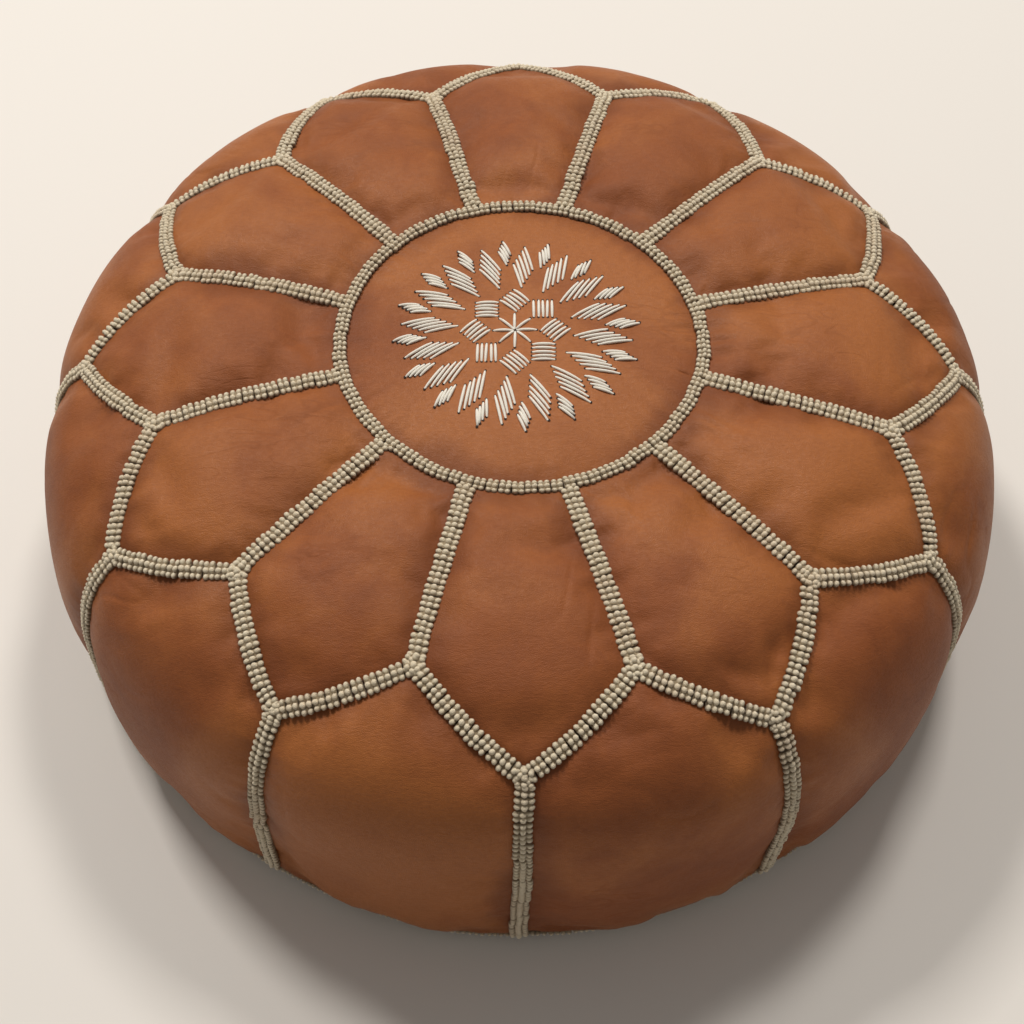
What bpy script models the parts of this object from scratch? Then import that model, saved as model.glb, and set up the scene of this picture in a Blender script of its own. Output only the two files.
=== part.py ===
"""Moroccan leather pouf, in metres, +Z up, origin on the floor under its middle.

The cover is sewn from a round medallion, twelve five-sided petals and twelve side panels,
with a woven braid on every seam. The base is two halves with a zip between them, and a
liner bag inside holds the stuffing. Every panel follows one seam surface, a body of
revolution, and puffs out of it between its seams.
"""
import math

import bmesh
import bpy
from mathutils import Vector

# Seam surface: two superellipse quarters that meet at the waist
WAIST_RADIUS = 0.277
WAIST_HEIGHT = 0.030
CROWN_RISE = 0.162
BASE_DROP = 0.0318
UPPER_POWER = 4.6
LOWER_POWER = 6.0
PROFILE_STEPS = 300
PROFILE_SPREAD = 0.8


# Seam layout
SECTORS = 12
SECTOR = math.tau / SECTORS
FIRST_SEAM = SECTOR / 2
RING_RADIUS = 0.1005
SHOULDER_RADIUS = 0.206
TIP_RADIUS = 0.248
BASE_RING_HEIGHT = 0.010

# Leather and braid
LEATHER = 0.0018
BRAID_HALF = 0.005
BRAID_TOP = 0.003
BRAID_BOTTOM = -0.0009
GAP = 0.0005
PANEL_INSET = BRAID_HALF + GAP
PETAL_PUFF = 0.012
SIDE_PUFF = 0.008
MEDALLION_CROWN = 0.003
ACROSS = 6
PETAL_ROWS = 5
SIDE_ROWS = 6
DISC_STEPS = 3 * SECTORS
MEDALLION_RINGS = (1.0, 0.72, 0.4)

# Embroidered star on the medallion
STAR_REACH = 0.066
STAR_WAIST = 0.052
STAR_CORE = 0.024
STAR_POINTS = 16
STAR_THICKNESS = 0.0008

# Base and zip
ZIP_EDGE = 0.007
CHANNEL_HEIGHT = 0.0066
CHANNEL_FLAT = 0.0165
CHANNEL_FOOT = 0.027
FLAT_RADIUS = 0.226
RIM_BEND_RADIUS = 0.252
MIDDLE_RADIUS = 0.120
CUT_TOLERANCE = 1e-6
ZIP_HALF_LENGTH = 0.230
TAPE_INNER = 0.0039
TAPE_OUTER = 0.016
TAPE_BOTTOM = 0.0088
TAPE_TOP = 0.0096
TOOTH_PITCH = 0.006
TOOTH_TIP = 0.0008
TOOTH_ROOT = 0.0024
TOOTH_BACK = 0.0036
TOOTH_BOTTOM = 0.0080
TOOTH_TOP = 0.0104
TAB_START = 0.2335
TAB_BEND = 0.250
TAB_END = 0.2645
TAB_HALF = 0.0065

# Slider and pull
SLIDER_X = 0.205
SLIDER_HALF_LENGTH = 0.008
SLIDER_HALF_WIDTH = 0.006
OUTER_PLATE = (0.0056, 0.0072)
INNER_PLATE = (0.0110, 0.0122)
POST_HALF_LENGTH = 0.002
POST_HALF_WIDTH = 0.0004
BAIL_HALF_LENGTH = 0.005
BAIL_HALF_WIDTH = 0.0011
BAIL_BAR = (0.0012, 0.0022)
BAIL_LEG = 0.0014
HINGE_HEIGHT = 0.0039
PULL_BAR = 0.0008
PULL_HALF_THICKNESS = 0.0006
PULL_WINDOW = 0.0075
PULL_WINDOW_HALF = 0.0019
PULL_HALF_WIDTH = 0.004
PULL_LENGTH = 0.032

# Liner bag and stuffing
LINER_CLEARANCE = 0.004
LINER_WALL = 0.001
LINER_FLOOR = 0.0025
STUFFING_GAP = 0.0005
BAG_SECTORS = 24
BAG_ROWS = 9
BAG_BOTTOM = 0.004
ZIP_ROOM_HALF = 0.034
ZIP_ROOM_REACH = 0.33
ZIP_ROOM_TOP = 0.0130
MOUTH_HALF_LENGTH = 0.090
MOUTH_HALF_WIDTH = 0.020

SMOOTH_ANGLE = math.radians(40)


def clear_scene():
    """Remove every object."""
    for thing in list(bpy.data.objects):
        bpy.data.objects.remove(thing, do_unlink=True)


def profile_point(share):
    """Radius and height on the seam surface, from 1 at the crown to -1 at the base's middle."""
    turn = math.pi / 2 * share * abs(share) ** PROFILE_SPREAD
    if share >= 0:
        radius = WAIST_RADIUS * max(math.cos(turn), 0) ** (2 / UPPER_POWER)
        return radius, WAIST_HEIGHT + CROWN_RISE * math.sin(turn) ** (2 / UPPER_POWER)
    radius = WAIST_RADIUS * max(math.cos(turn), 0) ** (2 / LOWER_POWER)
    return radius, max(0.0, WAIST_HEIGHT - BASE_DROP * math.sin(-turn) ** (2 / LOWER_POWER))


def measure_profile():
    """Points down the profile, each with its distance from the crown along the surface."""
    table = []
    travelled = 0.0
    for step in range(2 * PROFILE_STEPS + 1):
        radius, height = profile_point(1 - step / PROFILE_STEPS)
        if table:
            travelled += math.hypot(radius - table[-1][1], height - table[-1][2])
        table.append((travelled, radius, height))
    return table


PROFILE = measure_profile()


def profile_at(distance):
    """Radius, height and outward normal of the seam surface at a distance from the crown."""
    for before, after in zip(PROFILE, PROFILE[1:]):
        if after[0] >= distance:
            break
    run = after[0] - before[0]
    share = (distance - before[0]) / run
    along = Vector((after[1] - before[1], after[2] - before[2])) / run
    radius = before[1] + share * (after[1] - before[1])
    height = before[2] + share * (after[2] - before[2])
    return radius, height, Vector((-along.y, along.x))


def distance_to_radius(radius):
    """Distance from the crown out to a radius on the top."""
    for before, after in zip(PROFILE, PROFILE[1:]):
        if after[1] >= radius:
            return before[0] + (radius - before[1]) / (after[1] - before[1]) * (after[0] - before[0])
    return PROFILE[-1][0]


def distance_to_height(height):
    """Distance from the crown down to a height on the side."""
    for before, after in zip(PROFILE, PROFILE[1:]):
        if after[2] <= height:
            return before[0] + (before[2] - height) / (before[2] - after[2]) * (after[0] - before[0])
    return PROFILE[-1][0]


RING = distance_to_radius(RING_RADIUS)
SHOULDER = distance_to_radius(SHOULDER_RADIUS)
TIP = distance_to_radius(TIP_RADIUS)
BASE_RING = distance_to_height(BASE_RING_HEIGHT)
ZIGZAG_SLOPE = (TIP - SHOULDER) / (SECTOR / 2)
ZIGZAG_STRETCH = math.hypot(1, ZIGZAG_SLOPE / ((SHOULDER_RADIUS + TIP_RADIUS) / 2))


def on_surface(azimuth, distance, lift=0.0):
    """A point that stands lift above the seam surface."""
    radius, height, normal = profile_at(distance)
    out = radius + lift * normal.x
    return Vector((out * math.cos(azimuth), out * math.sin(azimuth), height + lift * normal.y))


def seam_azimuth(number):
    """Azimuth of a radial seam, counted from 0."""
    return FIRST_SEAM + SECTOR * number


def zigzag_at(azimuth, number):
    """Distance of the zigzag seam at an azimuth near the radial seam of this number."""
    away = abs(azimuth - seam_azimuth(number))
    if away > SECTOR / 2:
        away = SECTOR - away
    return SHOULDER + ZIGZAG_SLOPE * away


def make_material(name, colour, roughness, metallic=0.0):
    """A plain Principled material."""
    material = bpy.data.materials.new(name)
    material.use_nodes = True
    shader = material.node_tree.nodes["Principled BSDF"]
    shader.inputs["Base Color"].default_value = (*colour, 1.0)
    shader.inputs["Roughness"].default_value = roughness
    shader.inputs["Metallic"].default_value = metallic
    material.diffuse_color = (*colour, 1.0)
    return material


def add_object(name, mesh_builder, material, location=(0.0, 0.0, 0.0)):
    """Turn a bmesh into a named object with one material."""
    mesh = bpy.data.meshes.new(name)
    bmesh.ops.recalc_face_normals(mesh_builder, faces=mesh_builder.faces)
    mesh_builder.to_mesh(mesh)
    mesh_builder.free()
    mesh.shade_smooth()
    mesh.set_sharp_from_angle(angle=SMOOTH_ANGLE)
    thing = bpy.data.objects.new(name, mesh)
    thing.data.materials.append(material)
    thing.location = location
    bpy.context.collection.objects.link(thing)
    return thing


def close_shell(outer, inner, shape):
    """Skin two equal grids of points, one under the other, into one closed shell."""
    last_row = len(outer) - 1
    last_column = len(outer[0]) - 1
    tops = [[shape.verts.new(point) for point in row] for row in outer]
    unders = [[shape.verts.new(point) for point in row] for row in inner]
    for row in range(last_row):
        for column in range(last_column):
            for grid in (tops, unders):
                shape.faces.new((grid[row][column], grid[row][column + 1],
                                 grid[row + 1][column + 1], grid[row + 1][column]))
    rim = [(0, column) for column in range(last_column)]
    rim += [(row, last_column) for row in range(last_row)]
    rim += [(last_row, column) for column in range(last_column, 0, -1)]
    rim += [(row, 0) for row in range(last_row, 0, -1)]
    for here, there in zip(rim, rim[1:] + rim[:1]):
        shape.faces.new((tops[here[0]][here[1]], tops[there[0]][there[1]],
                         unders[there[0]][there[1]], unders[here[0]][here[1]]))


def puff_share(across, down):
    """How far a panel puffs out at this place: 0 on its edges, 1 in its middle."""
    return math.sqrt(max(0.0, 16 * across * (1 - across) * down * (1 - down)))


def panel_grids(middle, rows, top_of, bottom_of, puff):
    """Outer and inner point grids of a panel one sector wide."""
    outer = []
    inner = []
    for row in range(rows + 1):
        down = row / rows
        outer.append([])
        inner.append([])
        for column in range(ACROSS + 1):
            across = column / ACROSS
            azimuth = middle
            distance = 0.0
            for _ in range(3):
                distance = top_of(azimuth) + down * (bottom_of(azimuth) - top_of(azimuth))
                half = SECTOR / 2 - PANEL_INSET / profile_at(distance)[0]
                azimuth = middle + half * (2 * across - 1)
            lift = puff * puff_share(across, down)
            outer[-1].append(on_surface(azimuth, distance, lift + LEATHER / 2))
            inner[-1].append(on_surface(azimuth, distance, lift - LEATHER / 2))
    return outer, inner


def build_petal(number, leather):
    """A petal between two radial seams, from the medallion ring out to the zigzag."""
    middle = seam_azimuth(number) + SECTOR / 2

    def inner_edge(_azimuth):
        return RING + PANEL_INSET

    def outer_edge(azimuth):
        return zigzag_at(azimuth, number) - PANEL_INSET * ZIGZAG_STRETCH

    shape = bmesh.new()
    close_shell(*panel_grids(middle, PETAL_ROWS, inner_edge, outer_edge, PETAL_PUFF), shape)
    return add_object(f"petal_{number + 1:02d}", shape, leather)


def build_side_panel(number, leather):
    """A side panel under one shoulder, from the zigzag down to the base ring."""
    middle = seam_azimuth(number)

    def top_edge(azimuth):
        return zigzag_at(azimuth, number) + PANEL_INSET * ZIGZAG_STRETCH

    def bottom_edge(_azimuth):
        return BASE_RING - PANEL_INSET

    shape = bmesh.new()
    close_shell(*panel_grids(middle, SIDE_ROWS, top_edge, bottom_edge, SIDE_PUFF), shape)
    return add_object(f"side_panel_{number + 1:02d}", shape, leather)


def medallion_crown(radius):
    """Height of the medallion's crown above the seam surface."""
    return MEDALLION_CROWN * (1 - (radius / RING_RADIUS) ** 2)


def disc_points(radii_of, count, lift):
    """Rings of points on the medallion, from the outermost ring inward."""
    rings = []
    for radii in radii_of:
        ring = []
        for step in range(count):
            radius = radii[step % len(radii)]
            azimuth = math.tau * step / count
            height = profile_at(distance_to_radius(radius))[1] + medallion_crown(radius) + lift
            ring.append(Vector((radius * math.cos(azimuth), radius * math.sin(azimuth), height)))
        rings.append(ring)
    return rings


def close_disc(radii_of, count, lift, thickness):
    """A closed thin disc whose rings follow the medallion's crown."""
    shape = bmesh.new()
    layers = []
    for offset in (lift, lift + thickness):
        rings = [[shape.verts.new(point) for point in ring]
                 for ring in disc_points(radii_of, count, offset)]
        hub = shape.verts.new((0.0, 0.0, PROFILE[0][2] + MEDALLION_CROWN + offset))
        layers.append(rings)
        for step in range(count):
            after = (step + 1) % count
            for outer, inner in zip(rings, rings[1:]):
                shape.faces.new((outer[step], outer[after], inner[after], inner[step]))
            shape.faces.new((rings[-1][step], rings[-1][after], hub))
    for step in range(count):
        after = (step + 1) % count
        shape.faces.new((layers[0][0][step], layers[0][0][after], layers[1][0][after], layers[1][0][step]))
    return shape


def build_medallion(leather):
    """The round leather disc in the middle of the top."""
    radius = RING_RADIUS - PANEL_INSET
    rings = [(radius * share,) for share in MEDALLION_RINGS]
    shape = close_disc(rings, DISC_STEPS, -LEATHER / 2, LEATHER)
    return add_object("medallion", shape, leather)


def build_embroidery(thread):
    """The embroidered star as one thin layer on the medallion."""
    rings = [(STAR_REACH, STAR_WAIST), (STAR_CORE,)]
    shape = close_disc(rings, 2 * STAR_POINTS, LEATHER / 2 + GAP, STAR_THICKNESS)
    return add_object("medallion_embroidery", shape, thread)


def braid_section(shape, azimuth, distance, side_azimuth=0.0, side_distance=0.0):
    """Four corners of a braid's cross-section: one side and the other, each bottom then top."""
    corners = []
    for side in (-1, 1):
        for lift in (BRAID_BOTTOM, BRAID_TOP):
            place = on_surface(azimuth + side * side_azimuth, distance + side * side_distance, lift)
            corners.append(shape.verts.new(place))
    return corners


def skin_sections(shape, sections, capped_ends):
    """Walls between neighbouring cross-sections, with a cap on each end that is listed."""
    order = (0, 1, 3, 2)
    for here, there in zip(sections, sections[1:]):
        for first, second in zip(order, order[1:] + order[:1]):
            shape.faces.new((here[first], here[second], there[second], there[first]))
    for end in capped_ends:
        shape.faces.new([sections[end][corner] for corner in order])


def radial_arm(shape, azimuth, start):
    """A radial braid that grows out of the ring from its four start corners."""
    sections = [start]
    first = RING + BRAID_HALF
    last = SHOULDER - BRAID_HALF * ZIGZAG_STRETCH - GAP
    for row in range(1, PETAL_ROWS + 1):
        distance = first + (last - first) * row / PETAL_ROWS
        sections.append(braid_section(shape, azimuth, distance, BRAID_HALF / profile_at(distance)[0]))
    skin_sections(shape, sections, capped_ends=(-1,))


def build_crown_braid(thread):
    """The medallion's ring braid with the twelve radial braids that grow out of it."""
    shape = bmesh.new()
    half_root = math.asin(BRAID_HALF / (RING_RADIUS + BRAID_HALF))
    step = (SECTOR - 2 * half_root) / (ACROSS - 1)
    sections = []
    for number in range(SECTORS):
        start = seam_azimuth(number) - half_root
        sections.append(braid_section(shape, start, RING, 0.0, BRAID_HALF))
        for piece in range(ACROSS - 1):
            azimuth = start + 2 * half_root + piece * step
            sections.append(braid_section(shape, azimuth, RING, 0.0, BRAID_HALF))
    for place, here in enumerate(sections):
        there = sections[(place + 1) % len(sections)]
        for one, two in ((0, 1), (1, 3), (2, 0)):
            shape.faces.new((here[one], here[two], there[two], there[one]))
        if place % ACROSS:
            shape.faces.new((here[3], here[2], there[2], there[3]))
        else:
            root = [here[2], here[3], there[2], there[3]]
            radial_arm(shape, seam_azimuth(place // ACROSS), root)
    return add_object("crown_braid", shape, thread)


def build_zigzag_braid(thread):
    """The braid along the petals' outer edge, one closed zigzag."""
    shape = bmesh.new()
    sections = []
    for step in range(SECTORS * ACROSS):
        azimuth = FIRST_SEAM + SECTOR * step / ACROSS
        distance = zigzag_at(azimuth, step // ACROSS)
        sections.append(braid_section(shape, azimuth, distance, 0.0, BRAID_HALF * ZIGZAG_STRETCH))
    skin_sections(shape, sections + sections[:1], capped_ends=())
    return add_object("zigzag_braid", shape, thread)


def build_side_braid(number, thread):
    """The braid down one side seam."""
    shape = bmesh.new()
    azimuth = seam_azimuth(number) + SECTOR / 2
    first = TIP + BRAID_HALF * ZIGZAG_STRETCH + GAP
    last = BASE_RING - BRAID_HALF - GAP
    sections = []
    for row in range(SIDE_ROWS + 1):
        distance = first + (last - first) * row / SIDE_ROWS
        sections.append(braid_section(shape, azimuth, distance, BRAID_HALF / profile_at(distance)[0]))
    skin_sections(shape, sections, capped_ends=(0, -1))
    return add_object(f"side_braid_{number + 1:02d}", shape, thread)


def build_base_braid(thread):
    """The braid round the bottom edge."""
    shape = bmesh.new()
    sections = []
    for step in range(SECTORS * ACROSS):
        azimuth = SECTOR * step / ACROSS
        sections.append(braid_section(shape, azimuth, BASE_RING, 0.0, BRAID_HALF))
    skin_sections(shape, sections + sections[:1], capped_ends=())
    return add_object("base_braid", shape, thread)


def base_height(radius, offset):
    """Height of the base leather's outer face, flat but for its rim and the zip's channel."""
    rim = 0.0
    if radius > FLAT_RADIUS:
        share = (radius / WAIST_RADIUS) ** LOWER_POWER
        rim = max(0.0, WAIST_HEIGHT - BASE_DROP * (1 - share) ** (1 / LOWER_POWER))
    fall = (CHANNEL_FOOT - abs(offset)) / (CHANNEL_FOOT - CHANNEL_FLAT)
    return max(rim, CHANNEL_HEIGHT * min(1.0, max(0.0, fall)))


def build_base_half(name, side, leather):
    """Half of the base: flat on the floor, raised along the zip and at the rim."""
    rim_radius = profile_at(BASE_RING + PANEL_INSET)[0]
    shape = bmesh.new()
    rings = []
    for radius in (rim_radius, RIM_BEND_RADIUS, FLAT_RADIUS, MIDDLE_RADIUS):
        turns = [math.tau * step / DISC_STEPS for step in range(DISC_STEPS)]
        rings.append([shape.verts.new((radius * math.cos(turn), radius * math.sin(turn), 0.0))
                      for turn in turns])
    hub = shape.verts.new((0.0, 0.0, 0.0))
    for step in range(DISC_STEPS):
        after = (step + 1) % DISC_STEPS
        for outer, inner in zip(rings, rings[1:]):
            shape.faces.new((outer[step], outer[after], inner[after], inner[step]))
        shape.faces.new((rings[-1][step], rings[-1][after], hub))
    for cut in (ZIP_EDGE, CHANNEL_FLAT, CHANNEL_FOOT):
        everything = shape.verts[:] + shape.edges[:] + shape.faces[:]
        bmesh.ops.bisect_plane(shape, geom=everything, dist=CUT_TOLERANCE,
                               plane_co=(0.0, side * cut, 0.0), plane_no=(0.0, float(side), 0.0),
                               clear_inner=cut == ZIP_EDGE)
    for vert in shape.verts:
        vert.co.z = base_height(math.hypot(vert.co.x, vert.co.y), vert.co.y)
    half = add_object(name, shape, leather)
    wall = half.modifiers.new("leather", "SOLIDIFY")
    wall.thickness = LEATHER
    wall.offset = -1.0 if half.data.polygons[0].normal.z < 0 else 1.0
    return half


def box_shape(low, high):
    """A closed box between two corners."""
    shape = bmesh.new()
    made = bmesh.ops.create_cube(shape, size=1.0)
    low = Vector(low)
    high = Vector(high)
    bmesh.ops.scale(shape, verts=made["verts"], vec=high - low)
    bmesh.ops.translate(shape, verts=made["verts"], vec=(low + high) / 2)
    return shape


def build_zip_tape(name, side, fabric):
    """A woven tape along one edge of the zip, on the inside of the base."""
    near, far = sorted((side * TAPE_INNER, side * TAPE_OUTER))
    shape = box_shape((-ZIP_HALF_LENGTH, near, TAPE_BOTTOM), (ZIP_HALF_LENGTH, far, TAPE_TOP))
    return add_object(name, shape, fabric)


def build_zip_teeth(name, side, metal):
    """A row of teeth as one comb, half a pitch away from the opposite row."""
    teeth = int(2 * ZIP_HALF_LENGTH / TOOTH_PITCH) - 1
    start = -TOOTH_PITCH * teeth / 2 + side * TOOTH_PITCH / 4
    outline = [(-ZIP_HALF_LENGTH, TOOTH_BACK), (-ZIP_HALF_LENGTH, TOOTH_ROOT)]
    for tooth in range(teeth):
        outline.append((start + TOOTH_PITCH * tooth, TOOTH_ROOT))
        outline.append((start + TOOTH_PITCH * (tooth + 0.5), TOOTH_TIP))
    outline.append((start + TOOTH_PITCH * teeth, TOOTH_ROOT))
    outline += [(ZIP_HALF_LENGTH, TOOTH_ROOT), (ZIP_HALF_LENGTH, TOOTH_BACK)]
    shape = bmesh.new()
    face = shape.faces.new([shape.verts.new((x, side * y, TOOTH_BOTTOM)) for x, y in outline])
    raised = bmesh.ops.extrude_face_region(shape, geom=[face], use_keep_orig=True)
    lifted = [item for item in raised["geom"] if isinstance(item, bmesh.types.BMVert)]
    bmesh.ops.translate(shape, verts=lifted, vec=(0.0, 0.0, TOOTH_TOP - TOOTH_BOTTOM))
    return add_object(name, shape, metal)


def build_end_tab(name, side, leather):
    """A leather tab that closes off one end of the zip."""
    stations = [TAB_START, TAB_BEND, TAB_END]
    outer = []
    inner = []
    for station in stations:
        height = base_height(station, 0.0)
        outer.append([Vector((side * station, y, height)) for y in (-TAB_HALF, TAB_HALF)])
        inner.append([point + Vector((0.0, 0.0, LEATHER)) for point in outer[-1]])
    shape = bmesh.new()
    close_shell(outer, inner, shape)
    return add_object(name, shape, leather)


def join_by_union(base, others):
    """Join further solids into a base object with live Boolean unions."""
    for other in others:
        other.hide_render = True
        other.display_type = "WIRE"
        union = base.modifiers.new("union", "BOOLEAN")
        union.operation = "UNION"
        union.solver = "EXACT"
        union.object = other


def cut_away(base, cutters):
    """Cut solids out of a base object with live Boolean differences."""
    for cutter in cutters:
        cutter.hide_render = True
        cutter.display_type = "WIRE"
        cut = base.modifiers.new("cut", "BOOLEAN")
        cut.operation = "DIFFERENCE"
        cut.solver = "EXACT"
        cut.object = cutter


def slider_block(name, low, high, metal):
    """One block of the slider, placed from the slider's own middle."""
    return add_object(name, box_shape(low, high), metal, (SLIDER_X, 0.0, 0.0))


def build_slider(metal):
    """The slider: two plates, the post between the tooth rows, and the bail for the pull."""
    plate_low = (-SLIDER_HALF_LENGTH, -SLIDER_HALF_WIDTH)
    plate_high = (SLIDER_HALF_LENGTH, SLIDER_HALF_WIDTH)
    slider = slider_block("zip_slider", (*plate_low, OUTER_PLATE[0]), (*plate_high, OUTER_PLATE[1]), metal)
    middle_outer = sum(OUTER_PLATE) / 2
    middle_inner = sum(INNER_PLATE) / 2
    inner = slider_block("guide_inner_plate", (*plate_low, INNER_PLATE[0]), (*plate_high, INNER_PLATE[1]), metal)
    post = slider_block("guide_post", (-POST_HALF_LENGTH, -POST_HALF_WIDTH, middle_outer),
                        (POST_HALF_LENGTH, POST_HALF_WIDTH, middle_inner), metal)
    bar = slider_block("guide_bail_bar", (-BAIL_HALF_LENGTH, -BAIL_HALF_WIDTH, BAIL_BAR[0]),
                       (BAIL_HALF_LENGTH, BAIL_HALF_WIDTH, BAIL_BAR[1]), metal)
    legs = []
    for side in (-1, 1):
        near, far = sorted((side * BAIL_HALF_LENGTH, side * (BAIL_HALF_LENGTH - BAIL_LEG)))
        legs.append(slider_block(f"guide_bail_leg_{side + 1}", (near, -BAIL_HALF_WIDTH, BAIL_BAR[0]),
                                 (far, BAIL_HALF_WIDTH, middle_outer), metal))
    join_by_union(slider, [post, inner] + legs + [bar])
    return slider


def build_pull(metal):
    """The pull tab, with its origin on the bar that turns in the slider's bail."""
    shape = bmesh.new()
    outline = [(PULL_BAR, -PULL_HALF_WIDTH), (PULL_BAR, PULL_HALF_WIDTH),
               (-PULL_LENGTH, PULL_HALF_WIDTH), (-PULL_LENGTH, -PULL_HALF_WIDTH)]
    window = [(-PULL_BAR, -PULL_WINDOW_HALF), (-PULL_BAR, PULL_WINDOW_HALF),
              (-PULL_WINDOW, PULL_WINDOW_HALF), (-PULL_WINDOW, -PULL_WINDOW_HALF)]
    layers = []
    for height in (-PULL_HALF_THICKNESS, PULL_HALF_THICKNESS):
        edge = [shape.verts.new((x, y, height)) for x, y in outline]
        hole = [shape.verts.new((x, y, height)) for x, y in window]
        layers.append((edge, hole))
        for here in range(4):
            there = (here + 1) % 4
            shape.faces.new((edge[here], edge[there], hole[there], hole[here]))
    for loop in range(2):
        for here in range(4):
            there = (here + 1) % 4
            shape.faces.new((layers[0][loop][here], layers[0][loop][there],
                             layers[1][loop][there], layers[1][loop][here]))
    return add_object("zip_pull", shape, metal, (SLIDER_X, 0.0, HINGE_HEIGHT))


def bag_solid(name, inset, fabric):
    """A turned solid inside the cover, set in from the seam surface, with room for the zip."""
    floor = LINER_FLOOR + inset - LINER_CLEARANCE
    first = distance_to_radius(RING_RADIUS / 2)
    last = distance_to_height(BAG_BOTTOM)
    shape = bmesh.new()
    rings = []
    for row in range(BAG_ROWS + 1):
        distance = first + (last - first) * row / BAG_ROWS
        ring = []
        for step in range(BAG_SECTORS):
            point = on_surface(math.tau * step / BAG_SECTORS, distance, -inset)
            point.z = max(point.z, floor)
            ring.append(shape.verts.new(point))
        rings.append(ring)
    for upper, lower in zip(rings, rings[1:]):
        for step in range(BAG_SECTORS):
            after = (step + 1) % BAG_SECTORS
            shape.faces.new((upper[step], upper[after], lower[after], lower[step]))
    shape.faces.new(rings[0])
    shape.faces.new(rings[-1])
    room = box_shape((-ZIP_ROOM_REACH, -ZIP_ROOM_HALF, -WAIST_HEIGHT),
                     (ZIP_ROOM_REACH, ZIP_ROOM_HALF, ZIP_ROOM_TOP + inset - LINER_CLEARANCE))
    bag = add_object(name, shape, fabric)
    cut_away(bag, [add_object(f"cutter_room_{name}", room, fabric)])
    return bag


def build_liner_and_stuffing(cotton, fibre):
    """The liner bag, open above the zip, and the stuffing inside it."""
    liner = bag_solid("liner_bag", LINER_CLEARANCE, cotton)
    hollow = bag_solid("cutter_liner_hollow", LINER_CLEARANCE + LINER_WALL, cotton)
    mouth_top = ZIP_ROOM_TOP + 2 * LINER_WALL
    mouth = box_shape((-MOUTH_HALF_LENGTH, -MOUTH_HALF_WIDTH, ZIP_ROOM_TOP - LINER_WALL),
                      (MOUTH_HALF_LENGTH, MOUTH_HALF_WIDTH, mouth_top))
    cut_away(liner, [hollow, add_object("cutter_liner_mouth", mouth, cotton)])
    bag_solid("stuffing", LINER_CLEARANCE + LINER_WALL + STUFFING_GAP, fibre)


def main():
    """Build the whole pouf."""
    clear_scene()
    leather = make_material("tan_leather", (0.42, 0.16, 0.06), 0.5)
    thread = make_material("cream_thread", (0.62, 0.55, 0.40), 0.8)
    floss = make_material("white_floss", (0.80, 0.76, 0.66), 0.6)
    fabric = make_material("brown_tape", (0.10, 0.05, 0.03), 0.9)
    cotton = make_material("liner_cotton", (0.72, 0.68, 0.58), 0.9)
    fibre = make_material("filling_fibre", (0.80, 0.78, 0.72), 1.0)
    brass = make_material("zip_brass", (0.60, 0.45, 0.20), 0.35, 1.0)
    build_medallion(leather)
    build_embroidery(floss)
    build_crown_braid(thread)
    build_zigzag_braid(thread)
    for number in range(SECTORS):
        build_petal(number, leather)
        build_side_panel(number, leather)
        build_side_braid(number, thread)
    build_base_braid(thread)
    for name, side in (("front", -1), ("back", 1)):
        build_base_half(f"base_half_{name}", side, leather)
        build_zip_tape(f"zip_tape_{name}", side, fabric)
        build_zip_teeth(f"zip_teeth_{name}", side, brass)
    for name, side in (("left", -1), ("right", 1)):
        build_end_tab(f"zip_end_tab_{name}", side, leather)
    build_slider(brass)
    build_pull(brass)
    build_liner_and_stuffing(cotton, fibre)


main()
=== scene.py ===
"""The finished look of a Moroccan leather pouf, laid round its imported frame.

The leather cover is simulated as one stuffed skin held along its seams, and then cut into its
panels. Woven braids, the embroidered star, the zip and the bag inside are modelled round it.
Everything is in metres, +Z up, with the origin on the floor under the pouf's middle.
"""

import logging
import math
from dataclasses import dataclass, field
from enum import Enum
from typing import Callable, ClassVar, Iterable, Sequence

import bmesh
import bpy
import numpy as np
from mathutils import Matrix, Vector, kdtree, noise


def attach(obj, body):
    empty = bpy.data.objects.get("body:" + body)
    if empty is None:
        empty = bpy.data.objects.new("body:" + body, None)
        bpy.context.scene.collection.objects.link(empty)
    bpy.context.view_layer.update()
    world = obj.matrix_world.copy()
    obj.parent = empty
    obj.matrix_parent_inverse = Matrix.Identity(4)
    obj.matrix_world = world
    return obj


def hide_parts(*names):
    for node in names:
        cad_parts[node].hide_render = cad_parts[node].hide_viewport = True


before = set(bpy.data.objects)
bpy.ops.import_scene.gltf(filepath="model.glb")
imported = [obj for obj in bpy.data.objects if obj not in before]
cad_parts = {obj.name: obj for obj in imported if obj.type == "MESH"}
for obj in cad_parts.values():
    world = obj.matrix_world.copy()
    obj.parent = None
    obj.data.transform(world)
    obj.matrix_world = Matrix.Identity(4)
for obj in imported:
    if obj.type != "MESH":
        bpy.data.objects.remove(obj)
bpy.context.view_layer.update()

LOG = logging.getLogger("pouf")
COVER = "cover"
SECTORS = 12
SECTOR = math.tau / SECTORS
WANDER_SEED = 7


class Slot(Enum):
    """The record's material slots."""

    LEATHER = "tan_leather"
    BRAID = "cream_thread"
    FLOSS = "white_floss"
    TAPE = "brown_tape"
    BRASS = "zip_brass"
    COTTON = "liner_cotton"
    FIBRE = "filling_fibre"


# ---------------------------------------------------------------- workshop helpers


def deselect_all() -> None:
    """Leave nothing selected or active."""
    if bpy.context.object is not None and bpy.context.object.mode != "OBJECT":
        bpy.ops.object.mode_set(mode="OBJECT")
    bpy.ops.object.select_all(action="DESELECT")
    bpy.context.view_layer.objects.active = None


def make_active(thing: bpy.types.Object) -> None:
    """Select one object alone and make it active.

    Args:
        thing: the object to work on.
    """
    deselect_all()
    thing.select_set(True)
    bpy.context.view_layer.objects.active = thing


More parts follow.
